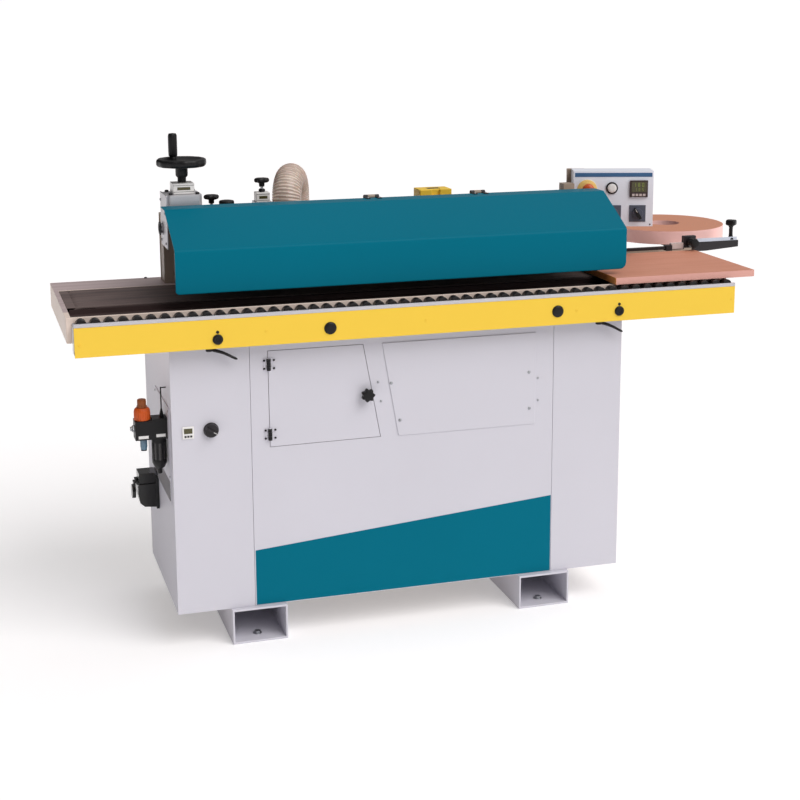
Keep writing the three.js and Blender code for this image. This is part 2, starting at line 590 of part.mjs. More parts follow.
function powerInlet() {
  const y = INLET.y, x1 = CAB.x0 - GAP;
  const body = prism("xz", [[184, 372], [182, 345], [187, 318], [199, 307], [232, 304], [232, 372]], y - 33, y + 33);
  return add(
    block(231, x1, y - 38, y + 38, 300, 398),
    body,
    block(186, 232, y - 28, y + 28, 371, 402),
    rod("y", [181, 374.6], 3, y - 30, y - 12, 12),
    rod("y", [181, 374.6], 3, y + 12, y + 30, 12),
    rod("y", [181, 374.6], 1.5, y - 20, y + 20, 12),
    block(181, 187, y - 30, y - 12, 371.6, 377.6),
    block(181, 187, y + 12, y + 30, 371.6, 377.6),
  );
}
function inletLid() {
  const y = INLET.y;
  const disc = rod("x", [y, 346], 20, 168, 178, 20);
  const ear = cut(
    add(rod("y", [181, 374.6], 3.5, y - 11.4, y + 11.4, 12), block(172, 181, y - 11.4, y + 11.4, 362, 375.6)),
    hole("y", [181, 374.6], 1.5, y - 30, y + 30, 12),
    block(178.2, 190, y - 20, y + 20, 350, 370.8),
  );
  return add(disc, ear);
}
function speedKnob() {
  const c = [342, 598];
  const grip = [[-17, 3.6], [17, 2.6], [17, -2.6], [-17, -3.6]].map(([u, v]) => [c[0] + u * 0.866 + v * 0.5, c[1] - u * 0.5 + v * 0.866]);
  return add(rod("y", c, 19, 37, 51.7, 20), prism("xz", grip, 29, 38));
}

// ---- assembly -----------------------------------------------------------
part("foot_tube_left", "grey", footTube(FEET[0]));
part("foot_tube_right", "grey", footTube(FEET[1]));
part("cabinet_body", "shade", cabinetBody());
part("left_column", "grey", add(column(CAB.x0, SEAM[0] - 0.4, 0, 1), servicePlate()));
part("right_column", "grey", column(SEAM[1] + 0.4, CAB.x1, 1, 0));
part("front_panel", "grey", frontPanel());
part("service_panel", "grey", prism("xz", SERVICE, CAB.y0 - 2.3, CAB.y0 - GAP));
part("access_door", "grey", accessDoor());
part("door_hinge_lower", "black", doorHinge(PIVOT.z[0]));
part("door_hinge_upper", "black", doorHinge(PIVOT.z[1]));
part("door_knob", "black", doorKnob());
part("table_frame", "frame", tableFrame());
part("table_bed", "dark", tableBed());
part("conveyor_belt", "belt", conveyorBelt());
part("drive_drum", "steel", drum(DRUM.x[0]));
part("idler_drum", "steel", drum(DRUM.x[1]));
part("support_rail", "alu", add(supportRail(), ...ROD.x.map(guideRod)));
part("yellow_fascia", "yellow", fascia());
part("support_rollers", "rubber", supportRollers());
part("clamp_lever_left", "black", clampLever(339));
part("clamp_lever_right", "black", clampLever(1421));
part("unit_carrier", "tan", add(unitCarrier(), rearCover()));
part("lift_housing", "alu", liftHousing());
part("lift_counter", "white", liftCounter());
part("pressure_beam", "shade", pressureBeam());
WHEEL.x.forEach((x, i) => part("pressure_wheel_" + (i + 1), "rubber", pressureWheel(x)));
part("handwheel", "black", handwheel());
part("handwheel_grip", "black", handwheelGrip());
part("hood", "teal", hood());
part("trim_unit", "alu", trimUnit());
part("trim_knob_tall", "black", trimKnobTall());
part("trim_knob_low", "black", trimKnobLow());
part("scraper_unit", "alu", scraperUnit());
part("scraper_counter", "white", scraperCounter());
part("scraper_knob", "black", scraperKnob());
part("dust_hose", "hose", dustHose());
part("guillotine_unit", "alu", guillotineUnit());
part("guillotine_cap", "yellow", guillotineCap());
part("heater_unit", "dark", heaterUnit());
part("tape_press_roller", "steel", tapePressRoller());
part("control_box", "box", controlBox());
part("emergency_stop", "red", emergencyStop());
part("start_button", "white", startButton());
part("selector_left", "dark", selector(SELECT.u[0]));
part("selector_right", "dark", selector(SELECT.u[1]));
part("tape_tray", "dark", tapeTray());
part("tape_roll", "salmon", tapeRoll());
part("tape_guide", "dark", tapeGuide());
part("tape_guide_knob", "black", guideKnob());
part("tape_guide_screw", "black", guideScrew());
part("air_unit", "black", airUnit());
part("regulator_knob", "orange", regulatorKnob());
part("filter_bowl", "dark", filterBowl());
part("power_inlet", "black", powerInlet());
part("inlet_lid", "black", inletLid());
part("speed_knob", "black", speedKnob());
part("workpiece_panel", "salmon",
  block(BOARD.x0, BOARD.x1, BOARD.y0, BOARD.y1, BOARD.z0, BOARD.z0 + BOARD.t));

export default root;
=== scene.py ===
"""Edge banding machine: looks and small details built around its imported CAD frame.

Metres, +X along the feed line, +Y from the operator to the back, +Z up. Details are laid out in
millimetres from the machine's datum: the left end and face of the yellow strip, and the floor.
"""
import math

import bmesh
import bpy
from mathutils import Matrix, Vector


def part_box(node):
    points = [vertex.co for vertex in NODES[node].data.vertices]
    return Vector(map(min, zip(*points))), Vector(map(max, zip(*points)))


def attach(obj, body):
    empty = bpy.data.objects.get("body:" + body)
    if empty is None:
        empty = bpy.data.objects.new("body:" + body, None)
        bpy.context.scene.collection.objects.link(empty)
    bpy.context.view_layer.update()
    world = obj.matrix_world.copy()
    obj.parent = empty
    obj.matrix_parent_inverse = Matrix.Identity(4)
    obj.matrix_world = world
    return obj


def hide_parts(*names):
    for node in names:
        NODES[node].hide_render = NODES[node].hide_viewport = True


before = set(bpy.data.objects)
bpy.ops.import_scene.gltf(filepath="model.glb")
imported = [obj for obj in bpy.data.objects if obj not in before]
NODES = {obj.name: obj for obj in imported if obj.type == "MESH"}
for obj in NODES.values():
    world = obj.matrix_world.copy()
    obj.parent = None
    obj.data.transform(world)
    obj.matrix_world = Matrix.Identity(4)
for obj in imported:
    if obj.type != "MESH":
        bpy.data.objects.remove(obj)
for leftover in ("Cube", "Light", "Camera"):  # Blender's own start-up scene
    if leftover in bpy.data.objects:
        bpy.data.objects.remove(bpy.data.objects[leftover])
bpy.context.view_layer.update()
SCENE = bpy.context.scene
MM = 0.001
DATUM = Vector((*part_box("yellow_fascia")[0].xy, 0.0))
TAU = 2 * math.pi


def mm(point):
    """A point in millimetres from the machine's datum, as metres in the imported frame."""
    return DATUM + Vector(point) * MM


def span(node):
    """A CAD node's box in millimetres from the datum: x0, x1, y0, y1, z0, z1."""
    lo, hi = ((p - DATUM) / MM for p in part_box(node))
    return lo.x, hi.x, lo.y, hi.y, lo.z, hi.z


# ---- camera ----------------------------------------------------------------
# Its place is in millimetres from the datum, and its angles are in radians.
CAMERA = {"at": (-302.8, -3839.2, 1711.4), "yaw": 0.3005, "pitch": 0.2062, "roll": -0.0029,
          "lens": 70.01, "shift": (-0.0205, -0.1025)}


def make_camera():
    yaw, pitch, roll = CAMERA["yaw"], CAMERA["pitch"], CAMERA["roll"]
    level = math.cos(pitch)
    ahead = Vector((math.sin(yaw) * level, math.cos(yaw) * level, -math.sin(pitch)))
    right = Vector((math.cos(yaw), -math.sin(yaw), 0))
    up = right.cross(ahead)
    right, up = (right * math.cos(roll) + up * math.sin(roll), up * math.cos(roll) - right * math.sin(roll))
    data = bpy.data.cameras.new("camera")
    data.lens, data.sensor_width = CAMERA["lens"], 36
    data.shift_x, data.shift_y = CAMERA["shift"]
    data.clip_start, data.clip_end = 0.05, 4000
    camera = bpy.data.objects.new("camera", data)
    turned = Matrix((right, up, -ahead)).transposed().to_4x4()
    camera.matrix_world = Matrix.Translation(mm(CAMERA["at"])) @ turned
    SCENE.collection.objects.link(camera)
    SCENE.camera = camera


# ---- materials -------------------------------------------------------------
def srgb(red, green, blue):
    """A screen colour, 0 to 255, as the linear colour that shaders take."""
    def linear(v):
        v /= 255
        return v / 12.92 if v <= 0.04045 else ((v + 0.055) / 1.055) ** 2.4
    return linear(red), linear(green), linear(blue), 1.0


class Nodes:
    """A material's node tree, with short ways to add to it."""

    def __init__(self, name):
        self.material = bpy.data.materials.new(name)
        self.material.use_nodes = True
        self.tree = self.material.node_tree
        self.shader = self.tree.nodes["Principled BSDF"]
        self.place = self.add("ShaderNodeTexCoord").outputs["Object"]

    def add(self, kind, **settings):
        node = self.tree.nodes.new(kind)
        for key, value in settings.items():
            setattr(node, key, value)
        return node

    def link(self, source, target):
        self.tree.links.new(source, target)

    def noise(self, scale, detail=3.0, stretch=(1, 1, 1)):
        """Noise from 0 to 1, with scale in waves per metre."""
        mapping = self.add("ShaderNodeMapping")
        mapping.inputs["Scale"].default_value = stretch
        self.link(self.place, mapping.inputs["Vector"])
        node = self.add("ShaderNodeTexNoise")
        node.inputs["Scale"].default_value = scale
        node.inputs["Detail"].default_value = detail
        self.link(mapping.outputs["Vector"], node.inputs["Vector"])
        return node.outputs["Fac"]

    def remap(self, value, low, high, source=(0.3, 0.7)):
        node = self.add("ShaderNodeMapRange")
        for key, number in zip(("From Min", "From Max", "To Min", "To Max"), (*source, low, high)):
            node.inputs[key].default_value = number
        self.link(value, node.inputs["Value"])
        return node.outputs["Result"]

    def mix(self, factor, a, b):
        """Colour a where factor is 0 and b where it is 1; each is a colour or a socket."""
        node = self.add("ShaderNodeMix", data_type="RGBA")
        self.link(factor, node.inputs["Factor"])
        for socket, value in ((node.inputs["A"], a), (node.inputs["B"], b)):
            if isinstance(value, tuple):
                socket.default_value = value
            else:
                self.link(value, socket)
        return node.outputs["Result"]

    def bump(self, height, depth):
        node = self.add("ShaderNodeBump")
        node.inputs["Strength"].default_value = 1.0
        node.inputs["Distance"].default_value = depth
        self.link(height, node.inputs["Height"])
        self.link(node.outputs["Normal"], self.shader.inputs["Normal"])

    def facing_up(self, low, high):
        """0 where the surface leans past low, and 1 where it lies flatter than high."""
        normal = self.add("ShaderNodeSeparateXYZ")
        self.link(self.place.node.outputs["Normal"], normal.inputs[0])
        return self.remap(normal.outputs["Z"], 0, 1, (low, high))


def shade(colour, by):
    """The same colour, lighter above 1 and darker below."""
    return tuple(min(1.0, c * by) for c in colour[:3]) + (1.0,)


def finish(name, colour, rough, metal=0.0, vary=0.06, patch=3.0, grain=900.0, depth=0.00004,
           stretch=(1, 1, 1), coat=0.0, specular=0.5, subsurface=0.0):
    """A procedural surface: slow patches in its tone, and one fine grain in its tone, gloss and relief."""
    n, spread = Nodes(name), 0.08
    slow, fine = n.noise(patch, 4.0), n.noise(grain, 2.0, stretch)
    tone = n.mix(n.remap(slow, 0, 1), shade(colour, 1 - vary), shade(colour, 1 + vary))
    speck = n.mix(n.remap(fine, 0, 0.5), tone, shade(colour, 1 - 2.2 * vary))
    n.link(speck, n.shader.inputs["Base Color"])
    n.link(n.remap(fine, rough - spread, rough + spread), n.shader.inputs["Roughness"])
    n.bump(fine, depth)
    n.shader.inputs["Metallic"].default_value = metal
    n.shader.inputs["Coat Weight"].default_value = coat
    n.shader.inputs["Coat Roughness"].default_value = 0.12
    n.shader.inputs["Specular IOR Level"].default_value = specular
    n.shader.inputs["Subsurface Weight"].default_value = subsurface
    n.shader.inputs["Subsurface Scale"].default_value = 0.01
    return n.material


def board_finish():
    """Faced chipboard: salmon faces with slow clouds and a fine pore, and paler edges."""
    n = Nodes("board")
    slow, fine = n.noise(6, 5.0, (1, 5, 5)), n.noise(700, 3.0)
    face = n.mix(n.remap(slow, 0, 1), srgb(208, 140, 112), srgb(218, 152, 126))
    pored = n.mix(n.remap(fine, 0, 0.35), face, srgb(198, 128, 104))
    n.link(n.mix(n.facing_up(0.5, 0.8), srgb(224, 168, 156), pored), n.shader.inputs["Base Color"])
    n.link(n.remap(fine, 0.45, 0.6), n.shader.inputs["Roughness"])
    n.shader.inputs["Specular IOR Level"].default_value = 0.3
    n.bump(fine, 0.00005)
    return n.material


def roll_finish(centre):
    """Edge tape wound on itself: thin rings round the centre on the flat side, and a smooth outside whose
    pale pink is partly its own tone and partly painted light against the shade on that side.
    """
    n = Nodes("tape_roll")
    away = n.add("ShaderNodeVectorMath", operation="SUBTRACT")
    n.link(n.place, away.inputs[0])
    away.inputs[1].default_value = centre
    flat = n.add("ShaderNodeVectorMath", operation="MULTIPLY")
    n.link(away.outputs[0], flat.inputs[0])
    flat.inputs[1].default_value = (1, 1, 0)
    radius = n.add("ShaderNodeVectorMath", operation="LENGTH")
    n.link(flat.outputs[0], radius.inputs[0])
    rings = n.add("ShaderNodeTexNoise", noise_dimensions="1D")
    rings.inputs["Scale"].default_value = 420
    rings.inputs["Detail"].default_value = 3.0
    n.link(radius.outputs["Value"], rings.inputs["W"])
    tone = n.mix(n.remap(rings.outputs["Fac"], 0, 1), srgb(196, 128, 98), srgb(220, 152, 120))
    # The outside's pale pink: the tape's own tone, lifted as painted light to make up for the shade it stands
    # in.
    n.link(n.mix(n.facing_up(0.5, 0.8), srgb(255, 205, 198), tone), n.shader.inputs["Base Color"])
    n.shader.inputs["Specular IOR Level"].default_value = 0.3
    n.link(n.remap(rings.outputs["Fac"], 0.42, 0.6), n.shader.inputs["Roughness"])
    n.bump(rings.outputs["Fac"], 0.0002)
    return n.material


def belt_finish():
    """Dark rubber with long streaks along the feed and patches of dust."""
    n = Nodes("belt")
    streak = n.noise(60, 4.0, (0.03, 1, 1))
    dust = n.noise(9, 5.0, (0.4, 1, 1))
    dark = n.mix(n.remap(streak, 0, 1), srgb(66, 52, 51), srgb(110, 93, 90))
    dusty = n.mix(n.remap(dust, 0, 0.4, (0.45, 0.75)), dark, srgb(136, 119, 114))
    n.link(dusty, n.shader.inputs["Base Color"])
    n.link(n.remap(streak, 0.6, 0.8), n.shader.inputs["Roughness"])
    n.bump(n.noise(500, 3.0), 0.0002)
    return n.material


def frame_finish():
    """Beige paint, greyish brown on upward faces except along the front."""
    n = Nodes("paint_frame")
    fine = n.noise(1100, 2.0)
    pale = n.mix(n.remap(n.noise(4, 4.0), 0, 1), srgb(230, 210, 196), srgb(240, 222, 210))
    # Upward faces behind the front rim take this darker greyish brown.
    top_tone = n.mix(n.remap(n.noise(40, 4.0, (0.05, 1, 1)), 0, 1), srgb(176, 156, 156), srgb(198, 180, 180))
    at = n.add("ShaderNodeSeparateXYZ")
    n.link(n.place, at.inputs[0])
    both = n.add("ShaderNodeMath", operation="MULTIPLY")
    n.link(n.facing_up(0.8, 0.95), both.inputs[0])
    behind = mm((0, 100, 0)).y
    n.link(n.remap(at.outputs["Y"], 0, 1, (behind, behind + 0.02)), both.inputs[1])
    n.link(n.mix(both.outputs[0], pale, top_tone), n.shader.inputs["Base Color"])
    n.link(n.remap(fine, 0.38, 0.52), n.shader.inputs["Roughness"])
    n.bump(fine, 0.00004)
    return n.material


PAINTS = {
    "grey": finish("paint_grey", srgb(213, 211, 220), 0.48, vary=0.025, patch=2.2, grain=1100, specular=0.3),
    "inner": finish("paint_inner", srgb(168, 158, 154), 0.45, vary=0.04, grain=1100, specular=0.35),
    "frame": frame_finish(),
    "teal": finish("paint_teal", srgb(0, 110, 133), 0.4, vary=0.04, patch=1.6, grain=1000, specular=0.05),
    "yellow": finish("paint_yellow", srgb(249, 208, 74), 0.42, vary=0.02, patch=1.8, grain=1000,
                     specular=0.15),
    "carrier": finish("paint_carrier", srgb(170, 152, 136), 0.45, vary=0.05, grain=900, specular=0.35),
    "box": finish("paint_box", srgb(240, 243, 254), 0.4, vary=0.02, grain=900, specular=0.3),
    "dark": finish("paint_dark", srgb(46, 43, 46), 0.45, vary=0.12, grain=700, specular=0.3),
    # Dark brown bed steel in the recess before the belt, darkened further as painted shade of the recess.
    "groove": finish("bed_steel_painted_shade", srgb(68, 52, 51), 0.5, vary=0.15, patch=8, grain=700, stretch=(0.05, 1, 1),
                     specular=0.25),
    "black": finish("black_plastic", srgb(20, 19, 21), 0.42, vary=0.2, patch=30, grain=1600, depth=0.00006,
                    specular=0.3),
    "gloss": finish("gloss_black", srgb(14, 14, 16), 0.18, vary=0.2, grain=500, depth=0.00001, coat=0.2,
                    specular=0.35),
    "white": finish("white_plastic", srgb(240, 238, 236), 0.35, vary=0.03, patch=20, grain=800),
    "orange": finish("orange_plastic", srgb(214, 92, 34), 0.4, vary=0.06, patch=20, grain=900, specular=0.3),
    "amber": finish("brown_cap", srgb(150, 84, 44), 0.42, vary=0.08, patch=30, grain=900, specular=0.3),
    "red": finish("red_plastic", srgb(206, 84, 26), 0.32, vary=0.06, patch=25, grain=800, coat=0.15),
    "smoke": finish("smoke_plastic", srgb(44, 39, 40), 0.22, vary=0.15, patch=25, grain=300, depth=0.00001,
                    coat=0.2),
    "rubber": finish("wheel_rubber", srgb(34, 33, 35), 0.62, vary=0.2, patch=25, grain=900, depth=0.00008,
                     specular=0.25),
    "roller": finish("roller_plastic", srgb(30, 26, 27), 0.34, vary=0.25, patch=40, grain=600, specular=0.35),
    "steel": finish("ground_steel", srgb(196, 196, 200), 0.28, 1.0, vary=0.06, grain=900,
                    stretch=(1, 1, 0.15)),
    "zinc": finish("zinc_screws", srgb(176, 178, 182), 0.32, 1.0, vary=0.1, patch=60, grain=1500),
    "alu": finish("aluminium", srgb(206, 204, 208), 0.42, 0.6, vary=0.05, patch=12, grain=1300,
                  stretch=(0.2, 1, 1)),
    "ring": finish("hose_rib", srgb(226, 208, 196), 0.35, vary=0.06, patch=30, grain=500, subsurface=0.15),
    "film": finish("hose_film", srgb(192, 170, 156), 0.3, vary=0.12, patch=30, grain=300, coat=0.1,
                   subsurface=0.2),
    "clear": finish("clear_strip", srgb(205, 212, 226), 0.25, vary=0.05, patch=30, grain=300, depth=0.00001,
                    specular=0.4),
    "blue": finish("blue_band", srgb(62, 104, 148), 0.4, vary=0.08, patch=20, grain=900, specular=0.3),
    "bowl": finish("blue_bowl", srgb(96, 128, 150), 0.25, vary=0.1, patch=40, grain=500, coat=0.2),
    "sign": finish("yellow_plate", srgb(250, 214, 130), 0.42, vary=0.04, patch=30, grain=900, specular=0.3),
    "slate": finish("slate_plate", srgb(88, 92, 108), 0.42, vary=0.08, patch=30, grain=900, specular=0.3),
    "brown": finish("display_case", srgb(64, 46, 46), 0.4, vary=0.1, patch=40, grain=900, specular=0.3),
    "lcd": finish("lcd_glass", srgb(78, 74, 40), 0.25, vary=0.12, patch=90, grain=500, depth=0.00001,
                  coat=0.1),
    "digits": finish("lcd_digits", srgb(140, 156, 58), 0.4, vary=0.1, patch=60, grain=900),
    "stone": finish("pale_block", srgb(212, 198, 194), 0.45, vary=0.05, patch=30, grain=900, specular=0.3),
    # The board's orange end edge, lifted as painted light to make up for the hood's shade over it.
    "fresh": finish("fresh_edge_painted_light", srgb(255, 160, 90), 0.5, vary=0.15, patch=60, grain=500,
                    stretch=(1, 0.2, 1), specular=0.25),
    "board": board_finish(),
    "belt": belt_finish(),
}


# ---- shapes ----------------------------------------------------------------
AXES = {"x": (Vector((0, 1, 0)), Vector((0, 0, 1)), Vector((1, 0, 0))),
        "y": (Vector((1, 0, 0)), Vector((0, 0, 1)), Vector((0, 1, 0))),
        "z": (Vector((1, 0, 0)), Vector((0, 1, 0)), Vector((0, 0, 1)))}


class Form:
    """The surface of one piece, in millimetres from the datum. Each face knows which material it takes."""

    def __init__(self):
        self.points, self.faces, self.paint = [], [], []

    def loft(self, rings, paint=0, loop=False):
        """A skin over rings of equal length, closed at its ends, or round to the first ring again."""
        first, n, rows = len(self.points), len(rings[0]), len(rings)
        for ring in rings:
            self.points += [Vector(p) for p in ring]
        for i in range(rows if loop else rows - 1):
            a, b = first + i * n, first + (i + 1) % rows * n
            self.faces += [(a + k, a + (k + 1) % n, b + (k + 1) % n, b + k) for k in range(n)]
        if not loop:
            last = first + (rows - 1) * n
            self.faces += [tuple(range(first, first + n)), tuple(range(last, last + n))]
        self.paint += [paint] * (len(self.faces) - len(self.paint))
        return self

    def box(self, x0, x1, y0, y1, z0, z1, paint=0):
        return self.loft([[(x0, y0, z), (x1, y0, z), (x1, y1, z), (x0, y1, z)] for z in (z0, z1)], paint)

    def turn(self, profile, at, axis="z", paint=0, seg=40, lobes=0, depth=0.0, loop=False):
        """Radii and heights turned round an axis through at. Lobes make it wavy, most where it is widest."""
        u, v, w = AXES[axis]
        widest = max(r for r, _ in profile)
        rings = []
        for r, h in profile:
            ring = []
            for k in range(seg):
                t = k / seg * TAU
                wave = 1 + depth * (r / widest) ** 3 * math.cos(lobes * t) if lobes else 1
                ring.append(Vector(at) + r * wave * (math.cos(t) * u + math.sin(t) * v) + h * w)
            rings.append(ring)
        return self.loft(rings, paint, loop)

    def plate(self, outline, axis, a, b, paint=0):
        """An outline pushed from a to b along an axis; its corners are in the other two axes, in order."""
        u, v, w = AXES[axis]
        return self.loft([[p * u + q * v + h * w for p, q in outline] for h in (a, b)], paint)

    def bar(self, at, along, across, corners, steps, paint=0):
        """An outline in two slanted axes, at some depths and scales along y: a grip or its mark."""
        return self.loft([[at + Vector((0, y, 0)) + a * k * along + b * k * across for a, b in corners]
                          for y, k in steps], paint)

    def tube(self, path, radius, seg):
        """A round bar along a path; radius is a function of how far along it is and which way round."""
        path = [Vector(p) for p in path]
        side, rings, far = None, [], 0.0
        for i, p in enumerate(path):
            ahead = (path[min(i + 1, len(path) - 1)] - path[max(i - 1, 0)]).normalized()
            side = side or ahead.orthogonal()
            side = (side - side.dot(ahead) * ahead).normalized()
            other = ahead.cross(side)
            far += (p - path[i - 1]).length if i else 0
            ring = []
            for k in range(seg):
                t = k / seg * TAU
                ring.append(p + radius(far, k / seg) * (math.cos(t) * side + math.sin(t) * other))
            rings.append(ring)
        return self.loft(rings)


BOX_CORNER, BOX_TURN = Vector((1477.5, 351, 0)), math.radians(-17.2)


def on_box(form):
    """Moves a form from the control box's own axes (along its face, into it, up) to the machine's."""
    turn = Matrix.Rotation(BOX_TURN, 3, "Z")
    form.points = [BOX_CORNER + turn @ p for p in form.points]
    return form


def piece(name, body, form, *paints, replaces=(), slot=None, bevel=0.0, sharp=35):
    """Makes a piece of the object from a form and lets it ride on a CAD body."""
    mesh = bpy.data.meshes.new(name)
    mesh.from_pydata([mm(p) for p in form.points], [], form.faces)
    mesh.polygons.foreach_set("material_index", form.paint)
    for paint in paints:
        mesh.materials.append(PAINTS[paint])
    work = bmesh.new()
    work.from_mesh(mesh)
    bmesh.ops.recalc_face_normals(work, faces=work.faces)
    work.to_mesh(mesh)
    work.free()
    mesh.shade_smooth()
    mesh.set_sharp_from_angle(angle=math.radians(sharp))
    made = bpy.data.objects.new(name, mesh)
    SCENE.collection.objects.link(made)
    if bevel:
        round_edges(made, bevel)
    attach(made, body)
    if replaces:
        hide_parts(*replaces)


def knob(name, body, node, form, *paints):
    """A black knob in the place of its CAD node; paints are for what else is in its form."""
    piece(name, body, form, "black", *paints, replaces=[node], slot="black_plastic", sharp=50)


def round_edges(thing, width):
    """Rounds the edges of a piece or node by so many millimetres."""
    bevel = thing.modifiers.new("round", "BEVEL")
    bevel.width, bevel.segments, bevel.limit_method = width * MM, 2, "ANGLE"
    bevel.angle_limit = math.radians(35)
    bevel.harden_normals = True
    bevel.miter_outer = "MITER_ARC"


def welding():
    """A modifier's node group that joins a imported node's faces and smooths them up to an angle."""
    tree = bpy.data.node_groups.new("weld_and_smooth", "GeometryNodeTree")
    for way in ("INPUT", "OUTPUT"):
        tree.interface.new_socket("Geometry", in_out=way, socket_type="NodeSocketGeometry")
    add, link = tree.nodes.new, tree.links.new
    start, end = add("NodeGroupInput"), add("NodeGroupOutput")
    bare, weld = add("GeometryNodeRemoveAttribute"), add("GeometryNodeMergeByDistance")
    bare.inputs["Name"].default_value = "custom_normal"
    weld.inputs["Distance"].default_value = 1e-6
    angle, small = add("GeometryNodeInputMeshEdgeAngle"), add("FunctionNodeCompare")
    small.operation = "LESS_THAN"
    small.inputs["B"].default_value = math.radians(32)
    link(angle.outputs["Unsigned Angle"], small.inputs["A"])
    edges, faces = add("GeometryNodeSetShadeSmooth"), add("GeometryNodeSetShadeSmooth")
    edges.domain, faces.domain = "EDGE", "FACE"
    link(small.outputs["Result"], edges.inputs["Shade Smooth"])
    chain = [start, bare, weld, edges, faces, end]
    for a, b in zip(chain, chain[1:]):
        link(a.outputs["Geometry"] if "Geometry" in a.outputs else a.outputs[0],
             b.inputs["Geometry"] if "Geometry" in b.inputs else b.inputs[0])
    return tree


# ---- CAD nodes that stay: their paint and the roundness of their edges -----
KEPT = {
    "grey": {"foot_tube_left": 2, "foot_tube_right": 2, "left_column": 1.2, "right_column": 1.2,
             "front_panel": 1.2, "service_panel": 0.8, "access_door": 0.8,
             "door_hinge_lower": 0, "door_hinge_upper": 0},
    "inner": {"cabinet_body": 0.8, "pressure_beam": 0.8},
    "frame": {"table_frame": 1.2},
    # The table bed takes the bed's dark brown, partly painted shade of its recess.
    "groove": {"table_bed": 0.5},
    "dark": {"heater_unit": 1.5, "tape_guide": 1, "tape_tray": 0},
    "black": {"air_unit": 0.8},
    "gloss": {"power_inlet": 2.4, "inlet_lid": 1.5},
    "alu": {"support_rail": 0.5, "lift_housing": 1.5, "trim_unit": 1.5, "scraper_unit": 1.5,
            "guillotine_unit": 1.5},
    "yellow": {"yellow_fascia": 0.7, "guillotine_cap": 3},
    "carrier": {"unit_carrier": 0.8},
    "white": {"lift_counter": 2, "scraper_counter": 1.5},
    "steel": {"drive_drum": 0, "idler_drum": 0, "tape_press_roller": 0},
    "rubber": {f"pressure_wheel_{k}": 1.5 for k in (1, 2, 3, 4)},
    "box": {"control_box": 3},
    "board": {"workpiece_panel": 0.5},
}


def dress_kept_nodes():
    weld = welding()
    for paint, nodes in KEPT.items():
        for name, rounding in nodes.items():
            node = NODES[name]
            for slot in node.material_slots:
                slot.material = PAINTS[paint]
            node.modifiers.new("weld", "NODES").node_group = weld
            if rounding:
                round_edges(node, rounding)


# ---- screws, bolts and plugs -----------------------------------------------
def dome_screws(name, body, places, axis, out, radius, paint="zinc", height=2.0):
    """Button-head screws; out is +1 or -1, the way their heads stand along the axis."""
    form = Form()
    for at in places:
        form.turn([(radius, -0.4 * out), (radius, 0.4 * out), (radius * 0.8, height * 0.75 * out),
                   (radius * 0.45, height * out), (radius * 0.42, height * 0.55 * out)], at, axis, seg=20)
    piece(name, body, form, paint, sharp=50)


def hex_outline(x, y, radius):
    return [(x + radius * math.cos(k * TAU / 6), y + radius * math.sin(k * TAU / 6)) for k in range(6)]


def foot_bolts():
    for side in ("left", "right"):
        x0, x1, *_ = span(f"foot_tube_{side}")
        xm, form = (x0 + x1) / 2, Form()
        for y in (85, 500):
            form.turn([(12, 6.0), (12, 7.6)], (xm, y, 0), seg=28)
            form.plate(hex_outline(xm, y, 9), "z", 7.6, 13.4)
        piece(f"foot_bolts_{side}", "machine_frame", form, "zinc", bevel=0.5)


# ---- sliding front support ---------------------------------------------------
ROLLER = {"r": 14, "pitch": 35, "first": 20, "count": 52, "z": 906}


def support_rollers():
    x0, x1, y0, y1, z0, _ = span("support_rollers")
    rollers, strip = Form(), Form()
    r = ROLLER["r"]
    half = [(3.2, 0.3), (3.2, 2.2), (r - 4, 2.2), (r - 3.2, 1.4), (r - 1, 1.4), (r, 2.4)]
    wheel = [(out, y0 + deep) for out, deep in half] + [(out, y1 - deep) for out, deep in reversed(half)]
    for k in range(ROLLER["count"]):
        rollers.turn(wheel, (ROLLER["first"] + k * ROLLER["pitch"], 0, ROLLER["z"]), "y", seg=28)
    strip.box(x0, x1, y0, y1, z0, z0 + 1.6)
    strip.box(x0, x1, y0, y0 + 1.2, z0, z0 + 6)
    strip.box(x0, x1, y1 - 1.2, y1, z0, z0 + 6)
    piece("roller_row", "front_support", rollers, "roller", replaces=["support_rollers"],
          slot="black_plastic")
    piece("roller_strip", "front_support", strip, "dark", replaces=["support_rollers"])


def fascia_details():
    plugs = Form()
    for x, z in ((653, 859), (1289, 863)):
        plugs.turn([(16.5, 0), (16.5, -1.2), (15, -3.2), (10, -4.4), (5, -4.8)], (x, 0, z), "y", seg=36)
    for x, z in ((358, 849), (1471, 853)):
        profile = [(13.5, 0), (13.5, -2.5), (12, -4), (7, -4), (6.4, -2.6), (2, -2.4)]
        plugs.turn(profile, (x, 0, z), "y", seg=32)
        plugs.turn([(4.2, 0), (4.2, -0.5), (2, -0.6)], (x, 0, z + 19), "y", seg=20)
    piece("fascia_plugs", "front_support", plugs, "black", sharp=50)
    places = [(13, 0, 858), (484, 0, 862), (914, 0, 862), (1345, 0, 862), (1816, 0, 865)]
    dome_screws("fascia_screws", "front_support", places, "y", -1, 4.6, "yellow", 1.2)
    x0, x1, *_ = span("yellow_fascia")
    caps = Form()
    for x, out in ((x0, -1), (x1, 1)):
        a, b = sorted((x, x + out * 1.6))
        caps.box(a, b, 4, 38, 832, 900)
    piece("rail_end_caps", "front_support", caps, "white", bevel=0.6)


